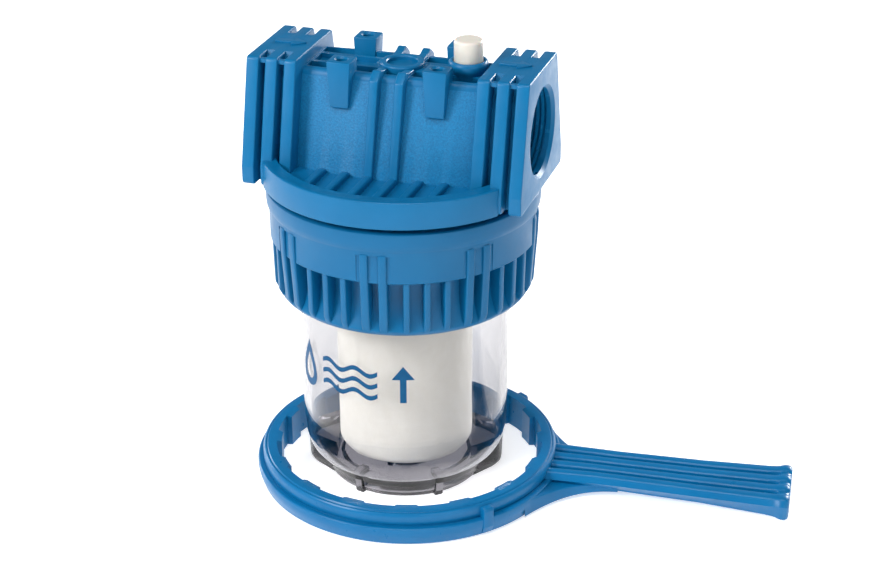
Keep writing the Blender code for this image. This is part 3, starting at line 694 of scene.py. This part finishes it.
def neck():
    """The threaded neck under the head, with the cartridge's seat and spigot inside it."""
    wall = turned([(NECK_ROOT_RADIUS, 151.0), (NECK_ROOT_RADIUS, NECK_FOOT + 1.0),
                   (NECK_ROOT_RADIUS - 1.0, NECK_FOOT), (NECK_BORE_RADIUS, NECK_FOOT),
                   (NECK_BORE_RADIUS, CHAMBER_TOP - 2.0), (NECK_BORE_RADIUS - 2.0, CHAMBER_TOP),
                   (20.0, CHAMBER_TOP), (20.0, 151.0)], 128)
    media_top = MEDIA_HIGH.z
    seat = turned([(20.5, 151.0), (20.5, media_top + 2.3), (18.6, media_top + 0.3), (17.4, media_top + 0.3),
                   (15.0, media_top + 4.0), (12.0, media_top + 4.0), (12.0, SPIGOT_FOOT + 1.0),
                   (11.2, SPIGOT_FOOT), (SPIGOT_BORE, SPIGOT_FOOT), (SPIGOT_BORE, 151.0)], 64)
    thread = turned([(56.0, 130.2), (56.8, 130.2), (NECK_CREST_RADIUS, 131.1), (NECK_CREST_RADIUS, 132.0),
                     (56.8, 132.9), (56.0, 132.9)], 96, pitch=NUT_PITCH, turns=NUT_THREAD_TURNS)
    return [wall, seat, thread]


def port_cutters():
    """Both ports with their internal threads, chamfers and passages, and the screw holes."""
    quarter = math.pi / 2.0
    cutters = []
    for side in (-1, 1):
        bore = turned([(0.0, 2.0), (PORT_RADIUS, 2.0), (PORT_RADIUS, -PORT_DEPTH), (0.0, -PORT_DEPTH)],
                      80, closed=False)
        mouth = turned([(0.0, 0.02), (PORT_RADIUS + 1.6, 0.02), (PORT_RADIUS - 0.4, -1.9), (0.0, -1.9)],
                       80, closed=False)
        outer = PORT_RADIUS + THREAD_DEPTH
        thread = turned([(PORT_RADIUS - 1.0, -21.9), (PORT_RADIUS - 1.0, -20.1), (outer, -20.75),
                         (outer, -21.25)], 80, pitch=PORT_PITCH, turns=8)
        relief = turned([(0.0, -20.0), (outer + 0.1, -20.0), (outer + 0.1, -22.8), (0.0, -22.8)],
                        80, closed=False)
        place = (Matrix.Translation((side * END_X * MM, 0.0, PORT_Z * MM))
                 @ Matrix.Rotation(side * quarter, 4, "Y"))
        for cutter in (bore, mouth, thread, relief):
            cutter.data.transform(place)
            cutters.append(cutter)
    cutters.append(box((-52.0, -13.0, CHAMBER_TOP - 1.0), (-39.5, 13.0, PORT_Z - 5.0)))
    passage = turned([(0.0, 8.2), (11.0, 8.2), (11.0, -40.0), (0.0, -40.0)], 48, closed=False)
    passage.data.transform(Matrix.Translation((0.0, 0.0, PORT_Z * MM))
                           @ Matrix.Rotation(-quarter, 4, "Y"))
    cutters.append(passage)
    cutters.append(cylinder(SPIGOT_BORE, SPIGOT_FOOT - 1.0, PORT_Z, segments=64))
    cutters.append(cylinder(VENT_HOLE_RADIUS, PORT_Z, VENT_SEAT + 1.0, (VENT_X, 0.0)))
    for x in (-POST_X, POST_X):
        for y in (-POST_Y, POST_Y):
            hole = turned([(0.0, POST_TOP + 1.0), (3.3, POST_TOP + 1.0), (3.3, POST_TOP),
                           (POST_HOLE_RADIUS, POST_TOP - 0.8),
                           (POST_HOLE_RADIUS, POST_TOP - POST_HOLE_DEPTH),
                           (0.0, POST_TOP - POST_HOLE_DEPTH)], 32, (x, y), closed=False)
            cutters.append(hole)
    return cutters


def on_panel(face, centre):
    """Whether a face of the head lies on one of the two grained panels."""
    if abs(face.normal.y) < 0.8 or not 157.5 < centre.z < 198.2:
        return False
    level = (centre.z - SLANT_FOOT) / (PANEL_SHOULDER - SLANT_FOOT)
    foot = panel_depth(*PANEL_FOOT_DEPTHS, centre.x)
    shoulder = panel_depth(*PANEL_SHOULDER_DEPTHS, centre.x)
    return abs(abs(centre.y) - (foot + (shoulder - foot) * level)) < 0.45


def make_head(plastic, grain):
    head = head_middle()
    parts = head_ribs() + end_block_cores() + slot_bridges() + upright_bars() + bracket_posts()
    head = boolean(head, "UNION", parts + apron() + top_bosses() + neck())
    head = boolean(head, "DIFFERENCE", port_cutters())
    head.data.materials.clear()
    head.data.materials.append(plastic)
    head.data.materials.append(grain)
    # Panel faces take the grained material, whose lighter blue is painted light against the shade of their
    # recess.
    for face in head.data.polygons:
        face.material_index = 1 if on_panel(face, face.center / MM) else 0
    return piece(head, "head_moulding", None, "head", ["head"], 28.0)


def arrow_outline(length, width, head_length, shaft):
    """An arrow along +X."""
    tip = length / 2.0
    barb = tip - head_length
    return [(-tip, -shaft / 2.0), (barb, -shaft / 2.0), (barb, -width / 2.0), (tip, 0.0),
            (barb, width / 2.0), (barb, shaft / 2.0), (-tip, shaft / 2.0)]


def drop_outline(size, steps=20):
    """A water drop standing along +Y."""
    points = []
    for i in range(steps):
        t = 2.0 * math.pi * i / steps
        points.append((size * 0.5 * math.sin(t) * math.sin(t / 2.0) ** 1.4, -size * 0.62 * math.cos(t)))
    return [(x, -y) for x, y in points]


def make_flow_marks(plastic):
    """Raised flow arrows in the middle of the two block tops, pointing from inlet to outlet."""
    outline = rounded(arrow_outline(15.0, 9.0, 6.5, 3.6), 0.5, 2)
    for name, x in (("inlet_flow_arrow", -BLOCK_MIDDLE), ("outlet_flow_arrow", BLOCK_MIDDLE)):
        mark = along_z(outline, BLOCK_TOP - 0.3, BLOCK_TOP + 0.8, 0.25)
        mark.data.transform(Matrix.Translation((x * MM, 0.0, 0.0)))
        piece(mark, name, plastic, "head")


# ---------------------------------------------------------------- vent and seals

def make_vent(material, seal):
    top = VENT_HIGH.z
    outline = [(0.0, top), (4.6, top - 0.02), (5.4, top - 0.12), (6.0, top - 0.4), (6.35, top - 0.85),
               (KNOB_RADIUS, top - 1.5), (KNOB_RADIUS, VENT_SEAT + 1.0), (6.2, VENT_SEAT + 0.3),
               (4.3, VENT_SEAT + 0.3), (4.3, 201.9), (2.7, 201.9), (2.7, 199.7), (4.3, 199.7),
               (4.3, 197.6), (3.6, 197.0), (2.4, 196.4), (2.0, 191.0), (0.0, VENT_LOW.z)]
    knob = turned(outline, 96, (VENT_X, 0.0), closed=False)
    piece(knob, "vent_knob", material, "vent", ["vent_screw"])
    piece(torus(3.8, 0.8, 200.8, (VENT_X, 0.0), 24, 64), "vent_seal", seal, "vent_seal",
          ["vent_oring"])


def torus(major, minor, height, centre, sides, steps):
    angles = [-2.0 * math.pi * i / sides for i in range(sides)]
    outline = [(major + minor * math.cos(a), height + minor * math.sin(a)) for a in angles]
    return turned(outline, steps, centre)


# ---------------------------------------------------------------- locking nut

def make_nut(plastic):
    band = [(61.6, NUT_TOP), (62.4, NUT_TOP - 0.2), (62.85, NUT_TOP - 0.6), (NUT_RADIUS, NUT_TOP - 1.2),
            (62.8, 140.4), (62.6, 138.6), (61.9, 137.4), (61.6, 136.6), (61.4, NUT_BAND_FOOT + 0.5),
            (60.9, NUT_BAND_FOOT), (55.0, NUT_BAND_FOOT - 1.4), (NUT_WALL_RADIUS, 118.0),
            (NUT_WALL_RADIUS, 112.0), (55.4, 106.0),
            (57.0, 101.0), (58.4, 98.4), (58.6, 97.4), (58.0, 96.2), (56.0, 94.6), (54.8, NUT_FOOT),
            (51.4, NUT_FOOT), (NUT_LIP_RADIUS, NUT_FOOT + 0.6), (NUT_LIP_RADIUS, NUT_SHELF),
            (NUT_BORE_RADIUS, NUT_SHELF), (NUT_BORE_RADIUS, NUT_TOP - 1.0), (60.0, NUT_TOP)]
    nut = turned(band, 240)
    window = [(60.7, 118.0), (66.0, 118.0), (66.0, NUT_RIB_TOP), (60.7, NUT_RIB_TOP - 0.4)]
    windows = [radial_slab(window, 15.2, NUT_ANGLE + NUT_PAIR_PITCH * pair) for pair in range(NUT_PAIRS)]
    nut = boolean(nut, "DIFFERENCE", windows)
    foot = [(53.4, 96.9), (57.6, 96.9), (58.9, 97.6), (60.3, 100.4)]
    long_rib = foot + [(61.9, 124.0), (62.2, 133.8), (61.8, NUT_RIB_TOP + 0.1), (60.1, NUT_RIB_TOP + 0.1),
                       (60.1, 126.0), (53.4, 117.0)]
    short_rib = foot + [(60.8, NUT_BAND_FOOT + 0.4), (53.4, NUT_BAND_FOOT + 0.4)]
    ribs = []
    for pair in range(NUT_PAIRS):
        middle = NUT_ANGLE + NUT_PAIR_PITCH * pair
        for offset in (-3.9, 3.9):
            ribs.append(radial_slab(long_rib, 3.9, middle + offset, 0.75))
        for offset in (13.7, 22.5, 31.3):
            ribs.append(radial_slab(short_rib, 2.8, middle + offset, 0.6))
    ribs.append(turned([(59.6, 126.7), (57.4, 127.6), (57.4, 128.5), (59.6, 129.4)][::-1], 120,
                       pitch=NUT_PITCH, turns=NUT_THREAD_TURNS))
    nut = boolean(nut, "UNION", ribs)
    return piece(nut, "nut_moulding", plastic, "nut", ["locking_nut"])


# ---------------------------------------------------------------- bowl

def bowl_lugs():
    """Two wedge-shaped lugs that stand on either side of the bowl's foot."""
    lugs = []
    for turn in (LOBE_ANGLE, LOBE_ANGLE + 180.0):
        cosine, sine = math.cos(math.radians(turn)), math.sin(math.radians(turn))
        sections = []
        for height, tip in ((0.0, 43.6), (0.4, 44.6), (1.2, 45.5), (2.4, 46.1), (4.0, 46.4), (17.5, 47.0)):
            plan = [(31.5, -16.4), (33.4, -15.3), (tip - 2.4, -7.2), (tip - 0.3, -3.8), (tip, -2.0),
                    (tip, 2.0), (tip - 0.3, 3.8), (tip - 2.4, 7.2), (33.4, 15.3), (31.5, 16.4)]
            sections.append([(u * cosine - v * sine, u * sine + v * cosine, height) for u, v in plan])
        lugs.append(loft(sections))
    return lugs


def make_bowl(material):
    outline = [(BOWL_FLANGE_RADIUS, BOWL_TOP), (BOWL_FLANGE_RADIUS, BOWL_FLANGE_FOOT),
               (49.7, BOWL_FLANGE_FOOT), (49.1, 114.0), (BOWL_RADIUS, 78.0),
               (48.6, 39.0), (48.5, 30.0), (48.3, 25.0), (47.9, 21.0), (47.2, 17.6), (46.1, 14.8),
               (44.7, 12.9), (43.1, 11.7), (41.6, 11.0), (40.8, 10.7), (40.3, 10.1), (39.9, 7.2),
               (39.6, 6.8), (38.8, 6.4), (38.4, 5.9), (37.8, 2.8), (37.4, 2.4), (37.1, 0.9), (36.5, 0.2),
               (35.9, 0.0), (31.6, 0.0), (31.0, 0.4), (29.5, 4.0), (12.5, 4.0), (11.4, 0.3), (10.8, 0.0),
               (0.0, 0.0)]
    inside = [(0.0, 22.0), (8.0, 22.0), (10.6, 21.2), (12.0, 19.6), (12.5, 12.0), (13.6, 10.0), (15.6, 9.4),
              (33.0, 9.4), (36.8, 9.8), (40.0, 11.2), (42.4, 13.6), (44.0, 16.8), (44.9, 20.6),
              (45.2, 26.0), (45.4, 39.0), (BOWL_BORE, 78.0), (45.8, BOWL_TOP), (51.7, BOWL_TOP),
              (51.7, 124.0), (55.3, 124.0), (55.3, BOWL_TOP)]
    bowl = turned(outline + inside, 192)
    additions = bowl_lugs()
    rib = rounded([(33.0, 0.0), (38.6, 0.0), (39.4, 0.8), (41.0, 11.9), (40.0, 12.9), (33.0, 12.9)], 0.5)
    for angle in RIB_ANGLES:
        additions.append(radial_slab(rib, 3.8, angle, 0.35))
    additions.append(box((-24.0, -1.2, 9.0), (24.0, 1.2, 13.3)))
    additions.append(box((-1.2, -24.0, 9.0), (1.2, 24.0, 13.3)))
    bowl = boolean(bowl, "UNION", additions)
    return piece(bowl, "bowl_moulding", material, "bowl", ["bowl"], 34.0)


def make_bowl_seal(seal):
    half = SEAL_THICKNESS / 2.0
    ring = torus(SEAL_RADIUS, half, SEAL_HEIGHT, (0.0, 0.0), 24, 160)
    piece(ring, "bowl_seal", seal, "bowl", ["bowl_oring"])


def on_cylinder(obj, radius, thickness, angle, height):
    """Wrap a flat mark, drawn in XY and thickness deep, round the bowl at angle and height."""
    for vertex in obj.data.vertices:
        u, v, w = vertex.co / MM
        turn = math.radians(angle) + u / radius
        depth = radius + (thickness if w > 0.0 else 0.0)
        vertex.co = Vector((depth * math.cos(turn), depth * math.sin(turn), height + v)) * MM
    obj.data.update()
    return obj


def flat_mark(outline, holes=(), step=1.2):
    """A flat mark cut finely enough to wrap."""
    mark = along_z(outline, -0.5, 0.5)
    if holes:
        mark = boolean(mark, "DIFFERENCE", [along_z(hole, -1.0, 1.0) for hole in holes])
    bm = bmesh.new()
    bm.from_mesh(mark.data)
    bmesh.ops.triangulate(bm, faces=bm.faces)
    low = min(v.co.x for v in bm.verts)
    high = max(v.co.x for v in bm.verts)
    cut = low + step * MM
    while cut < high:
        bmesh.ops.bisect_plane(bm, geom=bm.verts[:] + bm.edges[:] + bm.faces[:],
                               plane_co=(cut, 0, 0), plane_no=(1, 0, 0))
        cut += step * MM
    bm.to_mesh(mark.data)
    bm.free()
    return mark


def wave_outline(length, height, stroke, periods, steps=40):
    upper = []
    lower = []
    for i in range(steps + 1):
        u = -length / 2.0 + length * i / steps
        v = height * math.sin(2.0 * math.pi * periods * i / steps)
        upper.append((u, v + stroke / 2.0))
        lower.append((u, v - stroke / 2.0))
    return lower + upper[::-1]


def make_print(ink):
    """Plain signs printed on the bowl: a liquid drop, three waves and an upward arrow."""
    base = BOWL_RADIUS + 0.05
    ring = drop_outline(19.0)
    hollow = [(x * 0.60, y * 0.60 - 1.2) for x, y in ring]
    arrow = [(y, x) for x, y in arrow_outline(18.5, 10.5, 6.8, 3.0)]
    signs = [("print_drop", flat_mark(ring, [hollow]), -136.0, 64.0),
             ("print_arrow", flat_mark(arrow), -72.5, 66.0)]
    for name, level in (("print_wave_low", -5.6), ("print_wave_middle", 0.0), ("print_wave_high", 5.6)):
        signs.append((name, flat_mark(wave_outline(30.0, 1.5, 2.3, 2.0)), -104.0, 65.0 + level))
    for name, mark, angle, height in signs:
        on_cylinder(mark, base, 0.12, angle, height)
        piece(mark, name, ink, "bowl")


# ---------------------------------------------------------------- cartridge

def make_cartridge(material, core_material):
    """A slightly uneven felt sleeve round a tube with rows of windows."""
    low, high = MEDIA_LOW.z, MEDIA_HIGH.z
    radius = MEDIA_HIGH.x - 0.5
    corner = 5.5
    outline = [(MEDIA_BORE, high), (30.8, high - 0.1), (31.8, high - 0.5), (radius - 0.3, high - 1.6)]
    wall_steps = 60
    for i in range(1, wall_steps):
        outline.append((radius - 0.25, high - 1.6 - (high - 1.6 - low - corner) * i / wall_steps))
    for i in range(9):
        a = math.radians(90.0 * i / 8)
        outline.append((radius - 0.25 - corner + corner * math.cos(a), low + corner - corner * math.sin(a)))
    outline += [(20.0, low), (MEDIA_BORE, low)]
    media = turned(outline, 160)
    for vertex in media.data.vertices:
        x, y, z = vertex.co / MM
        spread = math.hypot(x, y)
        if spread < radius - 3.0:
            continue
        turn = math.atan2(y, x)
        ripple = 0.10 * math.sin(5.0 * turn + 0.05 * z) + 0.08 * math.sin(11.0 * turn - 0.11 * z)
        ripple += 0.06 * math.sin(23.0 * turn + 0.31 * z)
        scale = (spread + ripple) / spread
        vertex.co = Vector((x * scale, y * scale, z)) * MM
    piece(media, "felt_sleeve", material, "cartridge", ["filter_media"], 50.0)
    top, bottom = CORE_HIGH.z, CORE_LOW.z
    core = turned([(CORE_RADIUS - 0.3, top), (CORE_RADIUS, top - 0.3), (CORE_RADIUS, bottom + 0.3),
                   (CORE_RADIUS - 0.3, bottom), (CORE_BORE, bottom), (CORE_BORE, top)], 96)
    window = rounded([(-3.0, -3.6), (3.0, -3.6), (3.0, 3.6), (-3.0, 3.6)], 1.2, 3)
    windows = []
    for level in range(10):
        for turn in (0.0, 60.0, 120.0):
            cutter = extruded(window, 40.0, Matrix.Rotation(math.pi / 2.0, 4, "X"))
            cutter.data.transform(Matrix.Translation((0.0, 0.0, (bottom + 8.0 + 11.8 * level) * MM))
                                  @ Matrix.Rotation(math.radians(turn + 30.0 * (level % 2)), 4, "Z"))
            windows.append(cutter)
    core = boolean(core, "DIFFERENCE", windows)
    piece(core, "core_tube", core_material, "cartridge", ["filter_core"])


# ---------------------------------------------------------------- wrench

def notched_bore():
    """The ring's bore, with a notch for each of the nut's ribs."""
    pitch = 360.0 / NOTCHES
    outline = []
    for k in range(NOTCHES):
        middle = pitch * k
        outline += arc(NOTCH_RADIUS, middle - NOTCH_HALF_ANGLE, middle + NOTCH_HALF_ANGLE, 8)
        outline += arc(LUG_RADIUS, middle + NOTCH_HALF_ANGLE + 0.5,
                       middle + pitch - NOTCH_HALF_ANGLE - 0.5, 6)
    return outline


def handle_section(distance, half_top, half_foot, low, high, groove):
    """One cross-section of the handle: four rounded ribs with three deep grooves on top."""
    ribs = 4
    pitch = 2.0 * half_top / ribs
    points = [(-half_foot + 1.6, low), (half_foot - 1.6, low), (half_foot - 0.4, low + 0.5),
              (half_foot, low + 1.6), (half_top, high - 3.6)]
    for rib in range(ribs):
        middle = half_top - pitch * (rib + 0.5)
        for i in range(7):
            a = math.pi * (0.06 + 0.88 * i / 6)
            points.append((middle + 0.34 * pitch * math.cos(a), high - 1.3 + 1.3 * math.sin(a)))
        if rib < ribs - 1:
            edge = middle - 0.5 * pitch
            floor = high - 1.2 - groove
            points += [(edge + 0.12 * pitch, floor), (edge - 0.12 * pitch, floor)]
    points += [(-half_top, high - 3.6), (-half_foot, low + 1.6), (-half_foot + 0.4, low + 0.5)]
    return [(distance, y, z) for y, z in points]


def handle_web():
    """The web that flares from the handle into the ring, thinner towards the handle."""
    steps = 28
    sections = []
    for i in range(steps + 1):
        along = i / steps
        s = 62.5 + (102.0 - 62.5) * along
        half = 10.2 + 26.6 * (1.0 - along) ** 2.4
        low = 0.6 + 2.2 * along
        high = 9.0 - 2.8 * math.sqrt(along)
        corners = rounded([(-half, low), (half, low), (half, high), (-half, high)], 0.8, 3)
        sections.append([(s, y, z) for y, z in corners])
    return loft(sections)


def make_wrench(plastic):
    rim = [(58.0, RING_TOP), (67.2, RING_TOP), (67.8, RING_TOP - 0.15), (68.1, RING_TOP - 0.6),
           (68.3, RING_TOP - 0.8), (68.7, RING_TOP - 0.6), (69.3, RING_TOP - 0.8), (69.8, RING_TOP - 1.4),
           (70.1, RING_TOP - 2.4), (70.1, 10.6), (69.6, 9.5), (69.7, 8.9), (71.2, 9.3), (72.2, 9.1),
           (72.6, 8.7), (FLANGE_RADIUS, 8.0), (FLANGE_RADIUS, 6.4), (72.4, 4.6), (71.8, 3.0),
           (71.0, 0.6), (70.2, 0.0), (58.0, 0.0)]
    body = turned(rim, 240)
    # distance from the ring's centre, half widths at top and foot, lowest and highest point, groove
    stations = ((66.5, 15.4, 11.0, 1.0, 12.8, 2.8), (90.0, 14.5, 10.0, 2.6, 12.7, 2.8),
                (100.0, 14.4, 9.8, 3.0, 12.5, 2.8), (140.0, 15.4, 10.8, 1.9, 11.9, 2.8),
                (170.0, 16.7, 13.0, 0.7, 11.9, 2.8), (174.0, 17.0, 13.6, 0.5, 12.0, 2.4),
                (175.6, 17.3, 14.0, 0.3, 12.2, 0.8), (176.6, 17.7, 14.6, 0.15, 12.4, 0.0),
                (178.0, 18.0, 15.2, 0.05, 12.6, 0.0), (179.6, 18.0, 15.2, 0.05, 12.6, 0.0),
                (180.8, 17.6, 14.8, 0.4, 12.2, 0.0), (181.3, 17.1, 14.2, 0.9, 11.7, 0.0),
                (181.5, 16.4, 13.4, 1.6, 11.0, 0.0))
    handle = loft([handle_section(*station) for station in stations])
    tab = rounded([(69.0, 0.9), (71.6, 0.9), (73.2, 4.6), (73.2, 12.6), (72.6, 14.3), (69.0, 14.3)], 0.4)
    tabs = [radial_slab(tab, 5.2, angle, 0.35) for angle in TAB_ANGLES]
    body = boolean(body, "UNION", [handle, handle_web()] + tabs)
    bevel = turned([(0.0, RING_TOP + 1.0), (63.4, RING_TOP + 1.0), (62.9, RING_TOP), (61.0, RING_TOP - 0.9),
                    (0.0, RING_TOP - 0.9)], 240, closed=False)
    body = boolean(body, "DIFFERENCE", [along_z(notched_bore(), -2.0, RING_TOP + 2.0), bevel])
    turn = Matrix.Rotation(math.radians(WRENCH_ANGLE), 4, "Z")
    body.data.transform(Matrix.Translation((RING_X * MM, RING_Y * MM, 0.0)) @ turn)
    return piece(body, "wrench_moulding", plastic, "wrench", ["wrench"], 28.0)


# ---------------------------------------------------------------- stage, light and camera

def make_stage(paint):
    bm = bmesh.new()
    bmesh.ops.create_grid(bm, x_segments=4, y_segments=4, size=6.0)
    floor = mesh_object("floor", bm)
    floor.location = (0.0, 0.0, -0.0001)
    floor.data.materials.append(paint)


def area_light(name, place, size, power):
    light = bpy.data.lights.new(name, "AREA")
    light.shape = "RECTANGLE"
    light.size, light.size_y = size
    light.energy = power
    obj = link(bpy.data.objects.new(name, light))
    obj.location = place
    obj.rotation_euler = (LIGHT_TARGET - obj.location).to_track_quat("-Z", "Y").to_euler()


def make_lights():
    """A dim dome that is paler near the floor, a key on the left, top, fill and two edge lights."""
    world = bpy.data.worlds.new("studio")
    world.use_nodes = True
    tree = world.node_tree
    background = tree.nodes["Background"]
    background.inputs["Color"].default_value = (1.0, 1.0, 1.0, 1.0)
    direction = tree.nodes.new("ShaderNodeTexCoord")
    parts = tree.nodes.new("ShaderNodeSeparateXYZ")
    fade = tree.nodes.new("ShaderNodeMapRange")
    fade.inputs["From Min"].default_value = 0.0
    fade.inputs["From Max"].default_value = 0.3
    fade.inputs["To Min"].default_value = 0.34
    fade.inputs["To Max"].default_value = 0.18
    tree.links.new(direction.outputs["Generated"], parts.inputs["Vector"])
    tree.links.new(parts.outputs["Z"], fade.inputs["Value"])
    tree.links.new(fade.outputs["Result"], background.inputs["Strength"])
    bpy.context.scene.world = world
    area_light("key_light", (-0.85, -1.05, 0.90), (0.5, 0.5), 18.5)
    area_light("top_light", (0.1, -0.6, 1.5), (0.8, 0.6), 10.5)
    area_light("fill_light", (0.95, -0.95, 0.50), (0.8, 0.6), 3.5)
    area_light("right_edge_light", (0.62, 1.24, 0.52), (0.55, 0.30), 19.0)
    area_light("left_edge_light", (-1.20, 0.45, 0.30), (0.30, 0.60), 6.0)


def make_camera():
    camera = bpy.data.cameras.new("camera")
    camera.lens = 83.82
    camera.sensor_width = 36.0
    camera.clip_end = 20.0
    obj = link(bpy.data.objects.new("camera", camera))
    obj.location = (0.2751, -0.8086, 0.5001)
    obj.rotation_euler = [math.radians(angle) for angle in (64.338, 0.157, 17.764)]
    bpy.context.scene.camera = obj


head_plastic = blue_plastic("head_plastic", (0.002, 0.136, 0.318, 1.0), (0.001, 0.124, 0.288, 1.0), 0.36)
# The nut's blue is a darker copy of the head's: painted shade that tones down the strong front light on the
# nut.
nut_plastic = blue_plastic("nut_plastic", (0.001, 0.120, 0.282, 1.0), (0.001, 0.108, 0.258, 1.0), 0.37)
wrench_plastic = blue_plastic("wrench_plastic", (0.001, 0.142, 0.345, 1.0), (0.001, 0.125, 0.312, 1.0),
                              0.33, 0.05)
seal = rubber()

make_camera()
make_lights()
make_stage(floor_paint())
# The panel colours below are lighter than the head's blue: painted light against the shade in the recessed
# panels.
make_head(head_plastic, panel_plastic_painted_light((0.003, 0.182, 0.405, 1.0), (0.002, 0.128, 0.295, 1.0)))
make_flow_marks(head_plastic)
make_nut(nut_plastic)
make_bowl(clear_plastic())
make_bowl_seal(seal)
make_print(print_ink())
make_cartridge(felt(), pale_plastic("core_plastic", (0.80, 0.80, 0.78, 1.0), (0.72, 0.72, 0.70, 1.0),
                                    0.4, 0.0))
make_vent(pale_plastic("vent_plastic", (0.68, 0.655, 0.585, 1.0), (0.65, 0.625, 0.56, 1.0),
                       0.35, 0.15), seal)
make_wrench(wrench_plastic)
bpy.context.scene.view_settings.view_transform = "Standard"
